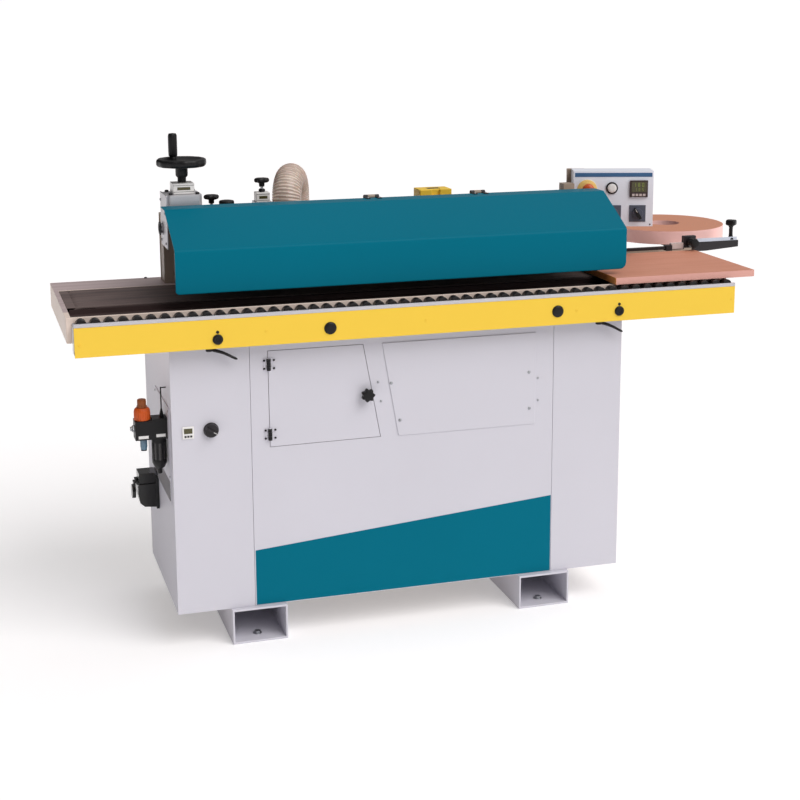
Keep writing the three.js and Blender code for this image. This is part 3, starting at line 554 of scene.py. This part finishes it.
def clamp_lever(side, x):
    """A cast lever: a hub under the rail and a curved, tapering arm."""
    y, top, form = 24, 823.7, Form()
    form.turn([(7, top - 10), (9, top - 8.6), (9, top - 1), (8, top)], (x, y, 0), seg=28)
    # How far along, how far down, half the width and half the thickness.
    line = [(-2, 5.5, 4, 3.4), (8, 6.5, 5, 4.4), (20, 10, 5, 4.6), (34, 15, 4.8, 4.4), (48, 22, 4.5, 4.2),
            (60, 29, 4.3, 4), (68, 33, 4, 3.6), (72.5, 34.6, 2.4, 1.8)]
    form.loft([[(x + along, y + half * math.cos(a / 12 * TAU), top - down + thick * math.sin(a / 12 * TAU))
                for a in range(12)] for along, down, half, thick in line])
    piece(f"lever_{side}", f"lever_{side}", form, "black", replaces=[f"clamp_lever_{side}"],
          slot="black_plastic")


# ---- cabinet front -----------------------------------------------------------
def front_band():
    """The coloured band over the foot of the middle sheet, with the sheet showing as a thin line under it."""
    x0, x1, y0, _, z0, _ = span("front_panel")
    left, right, low = x0 + 3, x1 - 1.5, z0 + 2
    outline = [(left, low), (right, low), (right, 324), (left, 254)]
    piece("front_band", "machine_frame", Form().plate(outline, "y", y0 - 0.5, y0 - 0.05), "teal")


def panel_screws():
    y = span("front_panel")[2]
    outside = [(795, y, 691), (803, y, 638), (1254, y, 667), (1255, y, 604)]
    dome_screws("panel_screws", "machine_frame", outside, "y", -1, 3.4)
    y = span("service_panel")[2]
    inside = [(831, y, 686), (855, y, 581), (1227, y, 686), (1229, y, 583)]
    dome_screws("service_screws", "machine_frame", inside, "y", -1, 4.4)


DOOR_PIN = (497.8, 47)
SLEEVES = (("fixed", "machine_frame", [(-5.6, 5.6)]), ("door", "door", [(-16, -6.1), (6.1, 16)]))


def door_hinge(end):
    """Screws of both leaves, and the sleeves round the pin: one that stays and two that swing."""
    y = span("service_panel")[2]
    _, x1, _, _, z0, z1 = span(f"door_hinge_{end}")
    xm, zm = x1 - 2, (z0 + z1) / 2
    for name, body, x in (("hinge", "machine_frame", xm - 14), ("door", "door", xm + 12)):
        places = [(x, y, zm + s * 11) for s in (-1, 1)]
        dome_screws(f"{name}_screws_{end}", body, places, "y", -1, 3, "dark")
    for name, body, reaches in SLEEVES:
        sleeve = Form()
        for a, b in reaches:
            profile = [(5.3, a + 0.3), (5.3, b - 0.3), (4.9, b), (4.7, b), (4.7, a), (4.9, a)]
            sleeve.turn(profile, (*DOOR_PIN, zm), seg=24, loop=True)
        piece(f"hinge_sleeve_{name}_{end}", body, sleeve, "black")


def door_knob():
    at, form = (762, 0, 662), Form()
    form.turn([(9, 51), (9, 41), (15, 41), (16.6, 38), (16.6, 28), (15, 25), (11, 24), (4, 24)], at, "y",
              seg=84, lobes=7, depth=0.13)
    form.turn([(5, 62), (5, 50)], at, "y", seg=20)
    form.box(at[0] - 6, at[0] + 12, 58, 62, at[2] - 6, at[2] + 6)
    knob("star_knob_door", "door_latch", "door_knob", form)


def speed_setter():
    at, lean, form = Vector((342, 0, 598)), math.radians(-30), Form()
    form.turn([(20, 51.6), (20, 48), (18.4, 46.5), (18.4, 44), (17.2, 38.5), (15, 37.6), (3, 37.4)],
              at, "y", seg=48)
    along = Vector((math.cos(lean), 0, math.sin(lean)))
    across = Vector((-math.sin(lean), 0, math.cos(lean)))
    grip = [(-17, -3.4), (17, -2.4), (17, 2.4), (-17, 3.4)]
    form.bar(at, along, across, grip, ((38, 1.0), (29.4, 0.94)))
    mark = [(4, -0.7), (16, -0.7), (16, 0.7), (4, 0.7)]
    form.bar(at, along, across, mark, ((29.5, 1), (29.0, 1)), 1)
    piece("speed_dial", "speed_setter", form, "dark", "white", replaces=["speed_knob"],
          slot="black_plastic", bevel=0.5)


def cabinet_display():
    x, z, y, form = 282, 596, span("left_column")[2], Form()
    form.box(x - 15, x + 15, y - 3, y, z - 17, z + 16, 0)
    form.box(x - 11, x + 11, y - 3.6, y - 2.8, z - 3, z + 11, 1)
    for k in (-1, 0, 1):
        form.box(x + 7.4 * k - 2.6, x + 7.4 * k + 2.6, y - 4.4, y - 2.8, z - 13, z - 8, 2)
    piece("length_display", "machine_frame", form, "white", "lcd", "dark", bevel=0.6)


# ---- left side: air and power -------------------------------------------------
def air_setter():
    x0, x1, y0, y1, _, top = span("regulator_knob")
    at, form = ((x0 + x1) / 2, (y0 + y1) / 2, top - 667), Form()
    form.turn([(6, 601), (6, 612.4), (20.6, 612.6), (21, 614), (21, 634), (20, 640), (16, 645)], at, seg=96,
              lobes=24, depth=0.03)
    form.turn([(12.4, 644), (13.4, 646), (13.4, 650), (11.8, 651), (11.8, 664), (10.6, 667), (4, 667)], at,
              paint=1, seg=40)
    piece("regulator_dial", "air_setter", form, "orange", "amber", replaces=["regulator_knob"],
          slot="orange_plastic", sharp=50)


def air_bowl():
    """A smoked bowl in a black guard with upright windows."""
    x0, x1, y0, y1, low, _ = span("filter_bowl")
    at, bowl, guard = Vector(((x0 + x1) / 2, (y0 + y1) / 2, low - 462)), Form(), Form()
    bowl.turn([(17.6, 560), (17.6, 497), (13.6, 484), (7, 478)], at, seg=40)
    guard.turn([(19.5, 560.5), (19.5, 548), (18, 547.5)], at, seg=40)
    guard.turn([(6, 462), (6.5, 475), (14, 480.5), (19.4, 493), (19.4, 500), (17.8, 501)], at, seg=40)
    for k in range(8):
        t = (k + 0.5) / 8 * TAU
        u, v = Vector((math.cos(t), math.sin(t), 0)), Vector((-math.sin(t), math.cos(t), 0))
        rail = ((17, -3), (19.4, -3), (19.4, 3), (17, 3))
        guard.loft([[at + r * u + s * v + Vector((0, 0, z)) for r, s in rail] for z in (498, 550)])
    piece("filter_glass", "machine_frame", bowl, "smoke", replaces=["filter_bowl"], slot="smoke_plastic")
    piece("filter_guard", "machine_frame", guard, "black", replaces=["filter_bowl"], bevel=0.4)


def air_details():
    x0, _, front, back, _, _ = span("air_unit")
    y, labels, blue = (front + back) / 2, Form(), Form()
    labels.box(162, 188, front - 0.4, front + 0.1, 571, 579)
    labels.box(208, 232, front - 0.4, front + 0.1, 573, 581)
    piece("air_labels", "machine_frame", labels, "white")
    blue.turn([(9, 566.8), (9.4, 564), (9.4, 546), (8, 537), (4, 533.6)], (177, y, 0), seg=32)
    piece("drain_bowl", "machine_frame", blue, "bowl")
    port = Form().plate(hex_outline(y, 595, 9.5), "x", x0 + 1, x0 + 5.8)
    port.turn([(5, x0 - 5), (6, x0 - 4), (6, x0 + 2)], (0, y, 595), "x", seg=24)
    piece("air_port", "machine_frame", port, "zinc", bevel=0.4)


def service_louvres():
    x, ends, form = 237.8, (96, 332), Form()
    for z in range(398, 447, 8):
        slat = ((x + 0.1, z), (x - 2.6, z + 1.4), (x - 2.6, z + 2.6), (x + 0.1, z + 5))
        form.loft([[(out, y, up) for out, up in slat] for y in ends])
    piece("service_louvres", "machine_frame", form, "alu", bevel=0.3)
    places = [(x, y, z) for y in ends for z in (466, 645)]
    dome_screws("service_plate_screws", "machine_frame", places, "x", -1, 4)


# ---- table and belt -------------------------------------------------------------
def ribbed_belt():
    """A closed loop round both drums, with ribs along the feed."""
    x0, x1, y0, y1, z0, z1 = span("conveyor_belt")
    az, outer = (z0 + z1) / 2, (z1 - z0) / 2
    ax, bx, inner, groove, pitch = x0 + outer, x1 - outer, outer - 3.9, 1.3, 10
    section = []
    for k in range(int((y1 - y0) / pitch)):
        y = y0 + k * pitch
        section += [(y, outer - groove), (y + 1, outer - groove), (y + 1.6, outer), (y + pitch - 0.6, outer)]
    section += [(y1, outer - groove), (y1, inner), (y0, inner)]
    rings = []
    for x, turn in ((bx, 0), (ax, 1)):
        for k in range(13):
            t = -math.pi / 2 + (turn + k / 12) * math.pi
            rings.append([(x + r * math.cos(t), y, az + r * math.sin(t)) for y, r in section])
    form = Form().loft(rings, loop=True)
    piece("ribbed_belt", "machine_frame", form, "belt", replaces=["conveyor_belt"], slot="belt_rubber")


def table_details():
    """Thin plates that close the gaps at both ends of the belt, and two screws on the rear edge."""
    x0, x1, _, y1, _, top = span("table_frame")
    _, _, front, back, _, _ = span("conveyor_belt")
    plates = Form()
    plates.box(x0 + 13.3, 21, front + 1, back - 1, top - 1.2, top - 0.1)
    plates.box(1778, x1 - 16.3, front + 1, back - 1, top - 1.2, top - 0.1)
    piece("transfer_plates", "machine_frame", plates, "belt")
    places = [(x, y1 - 6, top) for x in (250, 1500)]
    dome_screws("table_screws", "machine_frame", places, "z", 1, 5, "dark", 3)


def board_edge():
    """The fresh edge that leads the panel into the machine; its orange is lifted as painted light against the
    hood's shade.
    """
    x0, _, y0, y1, z0, z1 = span("workpiece_panel")
    piece("board_edge", "workpiece", Form().box(x0 - 1, x0 - 0.02, y0, y1, z0, z1), "fresh")


# ---- hood ---------------------------------------------------------------------
def folded(corners, radii, thick):
    """A bent sheet's outline: its corners rounded, and the same line again one thickness in."""
    line, steps = [Vector(corners[0])], 6
    for a, b, c, r in zip(corners, corners[1:], corners[2:], radii):
        a, b, c = Vector(a), Vector(b), Vector(c)
        into, out = (b - a).normalized(), (c - b).normalized()
        turn = math.acos(max(-1, min(1, into.dot(out))))
        back = r * math.tan(turn / 2)
        start, end = b - into * back, b + out * back
        for i in range(steps + 1):
            t = i / steps
            line.append(start * (1 - t) ** 2 + b * 2 * t * (1 - t) + end * t ** 2)
    line.append(Vector(corners[-1]))
    inner = []
    for i, p in enumerate(line):
        ahead = (line[min(i + 1, len(line) - 1)] - line[max(i - 1, 0)]).normalized()
        inner.append(p + Vector((ahead.y, -ahead.x)) * thick)
    return line + inner[::-1]


HOOD_HINGES = (851, 1164)


def hood_sheet():
    x0, x1 = span("hood")[:2]
    y, z0, fold, top, y_top, back = 70, 956, 1070, 1155, 233, 298
    form, rings = Form(), []
    for corner, side, way, shares in ((9, x0, 1, (0, 0.1, 0.3, 0.6, 1)), (17, x1, -1, (1, 0.6, 0.3, 0.1, 0))):
        for share in shares:
            rings.append((side + way * share * corner, corner - corner * math.sqrt(1 - (1 - share) ** 2)))
    sections = []
    for x, lift in rings:
        corners = [(y + 9, z0 + lift), (y, z0 + lift), (y, fold), (y_top, top), (back, top)]
        sections.append([(x, p.x, p.y) for p in folded(corners, (3.5, 12, 14), 2)])
    form.loft(sections)
    hinge_y, hinge_z = 306, 1157
    for x in HOOD_HINGES:
        for a, b in ((x - 22, x - 10.8), (x + 10.8, x + 22)):
            form.turn([(5, a), (6, a + 1), (6, b - 1), (5, b)], (0, hinge_y, hinge_z), "x", 1, seg=24)
            form.box(a, b, back - 26, hinge_y, top, top + 2.4, 1)
    piece("hood_sheet", "hood_cover", form, "teal", "dark", replaces=["hood"], slot="paint_teal", sharp=30)
    places = [(x + dx, back - 18, top + 2.4) for x in HOOD_HINGES for dx in (-16, 16)]
    dome_screws("hood_screws", "hood_cover", places, "z", 1, 3)


# ---- handwheel and setting knobs ---------------------------------------------------
def lift_wheel():
    axis, crank, form = (334, 355, 0), (319.5, 404, 0), Form()
    screw = [(5, 1001.5), (6, 1002.7)]
    for k in range(28):
        z = 1004 + 5 * k
        screw += [(6, z), (4.9, z + 1.2), (4.9, z + 2.4), (6, z + 3.6)]
    form.turn(screw + [(6, 1211.4)], axis, paint=1, seg=20)
    hub = [(11, 1211.4), (11.5, 1213), (11.5, 1224), (15.6, 1228), (16.6, 1232), (16.6, 1248), (20, 1252)]
    form.turn(hub, axis, seg=40)
    below = [(14, 1250), (40, 1255.6), (54, 1254.6), (60, 1254.2), (64.5, 1256.6), (66.5, 1261)]
    above = [(66.5, 1269), (65, 1273.5), (61, 1275.8), (55, 1275), (50, 1271.5), (44, 1268), (20, 1266),
             (15, 1269.6), (8, 1270)]
    form.turn(below + above, axis, seg=96, lobes=12, depth=0.018)
    form.turn([(9, 1264), (9.6, 1274), (8, 1276.6)], crank, seg=28)
    form.turn([(4, 1270), (4, 1325), (3, 1326)], crank, paint=1, seg=16)
    knob("lift_handwheel", "lift_wheel", "handwheel", form, "steel")
    grip = [(10.4, 1277), (11.6, 1279), (12, 1284), (12, 1330), (11.6, 1335), (9.6, 1339), (3, 1340)]
    knob("lift_grip_sleeve", "lift_grip", "handwheel_grip",
         Form().turn(grip, crank, seg=60, lobes=10, depth=0.03))


def star_grip(form, at, low, high):
    """A star grip on its neck, from low to high along z."""
    radius, deep = 19.5, high - low
    form.turn([(7.5, low - 12), (8, low - 3), (radius * 0.6, low - 0.5), (radius * 0.9, low),
               (radius, low + deep * 0.3), (radius, low + deep * 0.7), (radius * 0.88, high - 0.6),
               (radius * 0.5, high), (2, high - 0.3)], at, seg=72, lobes=6, depth=0.09)


SCRAPER_X, KNOB_LINE = 563, 404


def setting_knobs():
    at, form = (421, KNOB_LINE, 0), Form()
    star_grip(form, at, 1156, 1168)
    form.turn([(4, 1115), (4, 1146)], at, paint=1, seg=16)
    knob("trim_star", "trim_setter_tall", "trim_knob_tall", form, "steel")
    at, form = (463, KNOB_LINE, 0), Form()
    form.turn([(15.5, 1131.6), (16.5, 1133), (19.5, 1139), (20.8, 1142), (20.8, 1147), (19, 1150), (14, 1151),
               (6, 1150.4)], at, seg=80, lobes=20, depth=0.02)
    form.turn([(4, 1115), (4, 1134)], at, paint=1, seg=16)
    knob("trim_dial", "trim_setter_low", "trim_knob_low", form, "steel")
    at, form = (SCRAPER_X, KNOB_LINE, 0), Form()
    star_grip(form, at, 1197, 1209)
    form.turn([(4, 1115), (4, 1190)], at, paint=1, seg=16)
    form.turn([(8, 1170.6), (9, 1171.4), (9, 1177), (7, 1179)], at, seg=28)
    knob("scraper_star", "scraper_setter", "scraper_knob", form, "steel")


# ---- dust hose -----------------------------------------------------------------
def arc_path(points, steps):
    """Points along one cubic curve."""
    a, b, c, d = (Vector(p) for p in points)
    return [a * (1 - t) ** 3 + b * 3 * t * (1 - t) ** 2 + c * 3 * t * t * (1 - t) + d * t ** 3
            for t in (i / steps for i in range(steps + 1))]


def spiral_hose():
    front, back, rise = (634, 412), (690, 548), 1126
    core, rib, pitch, around_it = 40.1, 1.4, 6.5, 36
    path = [Vector((*front, z)) for z in range(1103, rise, 2)]
    path += arc_path([(*front, rise), (*front, 1218), (*back, 1222), (*back, rise)], 150)
    path += [Vector((*back, rise - 2 * k)) for k in range(1, 60)]

    def radius(far, around):
        phase = (far / pitch + around) % 1
        return core + rib * max(0.0, math.cos((phase - 0.5) * TAU)) ** 0.7

    form = Form().tube(path, radius, around_it)
    lengths = [0.0]
    for a, b in zip(path, path[1:]):
        lengths.append(lengths[-1] + (b - a).length)
    for i in range(len(path) - 1):
        for k in range(around_it):
            phase = (lengths[i] / pitch + (k + 0.5) / around_it) % 1
            form.paint[i * around_it + k] = 1 if 0.3 < phase < 0.7 else 0
    piece("spiral_hose", "machine_frame", form, "film", "ring", replaces=["dust_hose"],
          slot="hose_plastic", sharp=80)
    clamps = Form()
    for (x, y), z in ((front, 1104), (back, 1012)):
        clamps.turn([(41.6, z), (43, z + 0.6), (43, z + 9.4), (41.6, z + 10)], (x, y, 0), seg=48)
        clamps.box(x - 5, x + 5, y - 50, y - 42, z + 1, z + 9)
    piece("hose_clamps", "machine_frame", clamps, "zinc", bevel=0.3)


# ---- lift housing and working units ------------------------------------------------
def counter_window(name, x, y, z, width):
    """A counter's face: a dark window between two thin lines."""
    form = Form()
    form.box(x - width * 0.3, x + width * 0.3, y - 0.5, y + 0.2, z - 4, z + 4, 0)
    for dz in (-8.5, 8.5):
        form.box(x - width / 2 + 0.6, x + width / 2 - 0.6, y - 0.35, y + 0.2, z + dz - 0.5, z + dz + 0.5, 1)
    piece(name, "machine_frame", form, "lcd", "dark")


def lift_details():
    face = span("lift_housing")[0]
    ring = Form().turn([(19, face - 0.1), (19, face - 3), (17.4, face - 4), (13.6, face - 4), (12, face - 3),
                        (12, face - 0.1)], (0, 393, 1083), "x", seg=40, loop=True)
    piece("lift_eye", "machine_frame", ring, "dark")
    bolts = Form()
    for x in (297, 369):
        for y in (318, 392):
            profile = [(5.4, 1182), (5.4, 1186.6), (4.8, 1187.4), (3, 1187.4), (2.6, 1184.6)]
            bolts.turn(profile, (x, y, 0), seg=24)
    piece("lift_bolts", "machine_frame", bolts, "dark", sharp=50)
    side = [(282, y, z) for y, z in ((322, 1050), (405, 1050), (330, 1130), (408, 1160))]
    dome_screws("lift_side_screws", "machine_frame", side, "x", -1, 4.2, "zinc", 2.6)
    counter_window("lift_counter_face", 334, span("lift_counter")[2], 1197, 58)
    counter_window("scraper_counter_face", SCRAPER_X, span("scraper_counter")[2], 1157, 38)


def unit_screws():
    places = [(x, span("guillotine_unit")[2], z) for x in (1018, 1108) for z in (1000, 1100)]
    places += [(x, span("trim_unit")[2], z) for x in (394, 490) for z in (1012, 1084)]
    dome_screws("unit_screws", "machine_frame", places, "y", -1, 4, "dark", 3)
    x0, x1, y0, _, _, z1 = span("guillotine_cap")
    piece("cap_mark", "machine_frame", Form().box(x0 + 30, x1 - 30, y0 + 18, y0 + 40, z1, z1 + 0.5), "dark")


# ---- control box ---------------------------------------------------------------
# In the box's own axes: the run button's middle, and how far along the face and how high the switches are.
RUN, SWITCHES, SWITCH_Z = (112.5, 0, 1150.5), (116.5, 188.5), 1075.6
SEGMENTS = {"0": "abcdef", "1": "bc", "2": "abged", "5": "afgcd", "8": "abcdefg"}


def digit(form, sign, x, y, z, size, paint):
    """One seven-segment figure; z is its foot and size its height."""
    w, t, h = size * 0.5, size * 0.12, size / 2
    bars = {"a": (0, w, size - t, size), "g": (0, w, h - t / 2, h + t / 2), "d": (0, w, 0, t),
            "f": (0, t, h, size), "b": (w - t, w, h, size), "e": (0, t, 0, h), "c": (w - t, w, 0, h)}
    for name in SEGMENTS[sign]:
        a, b, c, d = bars[name]
        form.box(x + a, x + b, y - 0.3, y, z + c, z + d, paint)


def box_face():
    """What is on the front of the control box, in the box's own axes: its face is at 0."""
    piece("box_band", "machine_frame", on_box(Form().box(4, 230, -0.6, 0.3, 1183, 1195)), "blue", bevel=0.5)
    plate = Form().turn([(29, 0.2), (29, -1.6), (27.6, -2.4), (8, -2.4)], (40, 0, 1146), "y", seg=48)
    piece("stop_plate", "machine_frame", on_box(plate), "sign")
    case = Form()
    case.box(165, 217, -6, 0.3, 1124, 1172.6, 0)
    case.box(169, 213, -6.8, -5.6, 1139, 1169, 1)
    for k, sign in enumerate("180"):
        digit(case, sign, 176 + 12 * k, -6.8, 1155, 11, 2)
    for k, sign in enumerate("185"):
        digit(case, sign, 180 + 10 * k, -6.8, 1142.5, 8, 2)
    for k in range(4):
        case.box(171 + 10.5 * k, 178.5 + 10.5 * k, -7.2, -5.6, 1127.5, 1134, 3)
    piece("heat_controller", "machine_frame", on_box(case), "brown", "lcd", "digits", "stone", bevel=0.5)
    ring = Form().turn([(17.5, 0.2), (17.5, -3), (16.4, -4.2), (14.2, -4.2), (13.6, -3.6), (13.6, 0.2)],
                       RUN, "y", seg=44, loop=True)
    piece("run_button_ring", "machine_frame", on_box(ring), "dark", sharp=50)
    plates = Form()
    for u in SWITCHES:
        plates.box(u - 24, u + 24, -1.8, 0.3, 1051, 1100)
    for u in (8, 226):
        plates.turn([(2.4, 0.3), (2.4, -0.5), (1.8, -1.2), (0.8, -1.3)], (u, 0, 1043), "y", seg=20)
    piece("switch_plates", "machine_frame", on_box(plates), "slate", bevel=0.6)


def push_buttons():
    stop = Form().turn([(8, 15), (8, -8), (12.6, -9), (13, -14), (16.8, -14), (18, -16), (17.8, -20),
                        (15.8, -24), (11, -26.8), (5, -27.9)], (42, 0, 1147), "y", seg=48)
    piece("stop_mushroom", "stop_button", on_box(stop), "red", replaces=["emergency_stop"],
          slot="red_plastic", sharp=60)
    run = Form().turn([(12, 13), (12, -4), (12.9, -4.2), (13, -6), (12.2, -6.9), (6, -7)], RUN, "y", seg=44)
    piece("run_cap", "run_button", on_box(run), "white", replaces=["start_button"],
          slot="white_plastic", sharp=60)


def rotary_switch(side, u):
    centre, form, lean = Vector((u, 0, SWITCH_Z)), Form(), math.radians(62)
    form.turn([(5, 17), (5, -1), (16, -1.9), (16, -4.6), (15, -6.6), (4, -6.8)], centre, "y", 2, seg=44)
    along = Vector((-math.cos(lean), 0, math.sin(lean)))
    across = Vector((math.sin(lean), 0, math.cos(lean)))
    grip = [(-18, -4.2), (-12, -4.8), (12, -3.4), (19, -1.8), (19, 1.8), (12, 3.4), (-12, 4.8), (-18, 4.2)]
    form.bar(centre, along, across, grip, ((-6, 1), (-19, 0.92)))
    mark = [(6, -0.7), (16.5, -0.5), (16.5, 0.5), (6, 0.7)]
    form.bar(centre, along, across, mark, ((-18.8, 1), (-19.5, 1)), 1)
    piece(f"switch_grip_{side}", f"switch_{side}", on_box(form), "black", "white", "slate",
          replaces=[f"selector_{side}"], slot="black_plastic", bevel=0.6)


# ---- tape roll and guide --------------------------------------------------------
def tape_coil():
    x0, x1, y0, y1, z0, z1 = span("tape_roll")
    at, r, bore = ((x0 + x1) / 2, (y0 + y1) / 2, 0), (x1 - x0) / 2, 50
    PAINTS["coil"] = roll_finish(mm((at[0], at[1], 0)))
    under = [(bore, z0 + 0.6), (bore + 0.6, z0), (r - 0.8, z0), (r, z0 + 0.8)]
    wave = [(r - 3 - k * 6.5, z1 - (0.5 if k % 2 else 0)) for k in range(20)]
    profile = under + [(r, z1 - 0.8)] + wave + [(bore + 0.6, z1 - 0.2), (bore, z1 - 0.8)]
    coil = Form().turn(profile, at, seg=144, loop=True)
    piece("tape_coil", "tape_spool", coil, "coil", replaces=["tape_roll"], slot="tape_pvc")


def guide_details():
    piece("clear_strip", "machine_frame", Form().box(1908, 2045, 399, 400.2, 962.1, 973), "clear", bevel=0.3)
    block = Form().box(1823.6, 1865.8, 401.6, 414.4, 943.6, 962.4)
    piece("guide_block", "machine_frame", block, "stone", bevel=1.5)
    at = (1886, 0, 964)
    clamp = Form().turn([(12.6, 396), (14, 393), (14, 369), (12.8, 365), (9, 364.1), (3, 364)], at, "y",
                        seg=72, lobes=12, depth=0.04)
    clamp.turn([(4, 409), (4, 395)], at, "y", seg=16)
    knob("guide_clamp_knob", "guide_clamp", "tape_guide_knob", clamp)
    at, screw = (2028, 407, 0), Form()
    screw.turn([(4, 948), (4, 966)], at, paint=1, seg=16)
    screw.turn([(10, 964.4), (9.6, 967), (7, 972), (5.8, 980), (5.8, 1000), (8, 1006), (13, 1008),
                (15.6, 1010), (16, 1012), (16, 1021), (14.4, 1024), (3, 1025)], at,
               seg=72, lobes=4, depth=0.12)
    knob("guide_screw_knob", "guide_setter", "tape_guide_screw", screw, "steel")


# ---- studio ---------------------------------------------------------------------
def lay_floor():
    """A wide pale floor just under the feet; it glows a little, so that it stays white in the shade."""
    mesh, r, z = bpy.data.meshes.new("floor"), 2000, -0.0005
    mesh.from_pydata([(-r, -r, z), (r, -r, z), (r, r, z), (-r, r, z)], [], [(0, 1, 2, 3)])
    floor = bpy.data.objects.new("floor", mesh)
    SCENE.collection.objects.link(floor)
    paper = finish("floor", srgb(246, 245, 246), 0.75, vary=0.004, patch=1, grain=60, depth=0.0, specular=0.1)
    shader = paper.node_tree.nodes["Principled BSDF"]
    shader.inputs["Emission Color"].default_value = (1, 1, 1, 1)
    shader.inputs["Emission Strength"].default_value = 0.27
    mesh.materials.append(paper)


# The surroundings' light along two axes: where it begins and ends to grow, and how strong it is there.
# It leaves the left side in shade and is brightest high up on the right.
RAMPS = (("X", (-0.3, 0.5, 0.0, 0.42)), ("Z", (0.35, 0.9, 0.0, 0.52)))


def light_surroundings():
    world = bpy.data.worlds.new("studio")
    SCENE.world = world
    world.use_nodes = True
    add, link = world.node_tree.nodes.new, world.node_tree.links.new
    place, parts, total = add("ShaderNodeTexCoord"), add("ShaderNodeSeparateXYZ"), add("ShaderNodeMath")
    link(place.outputs["Generated"], parts.inputs[0])
    for k, (axis, numbers) in enumerate(RAMPS):
        ramp = add("ShaderNodeMapRange")
        for key, number in zip(("From Min", "From Max", "To Min", "To Max"), numbers):
            ramp.inputs[key].default_value = number
        link(parts.outputs[axis], ramp.inputs["Value"])
        link(ramp.outputs["Result"], total.inputs[k])
    sky = world.node_tree.nodes["Background"]
    sky.inputs["Color"].default_value = (1.0, 0.98, 0.98, 1)
    link(total.outputs["Value"], sky.inputs["Strength"])
    SCENE.view_settings.view_transform = "Standard"


def hang_sun():
    """One wide, soft light from high up behind the operator's right shoulder."""
    sun = bpy.data.lights.new("sun", "SUN")
    sun.energy, sun.angle = 1.66, math.radians(45)
    sun.color = (1.0, 0.985, 0.97)
    lamp = bpy.data.objects.new("sun", sun)
    lamp.rotation_euler = Vector((0.5, -0.75, 0.9)).to_track_quat("Z", "Y").to_euler()
    SCENE.collection.objects.link(lamp)


make_camera()
dress_kept_nodes()
foot_bolts()
support_rollers()
fascia_details()
clamp_lever("left", 339)
clamp_lever("right", 1421)
front_band()
panel_screws()
door_hinge("lower")
door_hinge("upper")
door_knob()
speed_setter()
cabinet_display()
air_setter()
air_bowl()
air_details()
service_louvres()
ribbed_belt()
table_details()
board_edge()
hood_sheet()
lift_wheel()
setting_knobs()
spiral_hose()
lift_details()
unit_screws()
box_face()
push_buttons()
for side, along_face in zip(("left", "right"), SWITCHES):
    rotary_switch(side, along_face)
tape_coil()
guide_details()
lay_floor()
light_surroundings()
hang_sun()
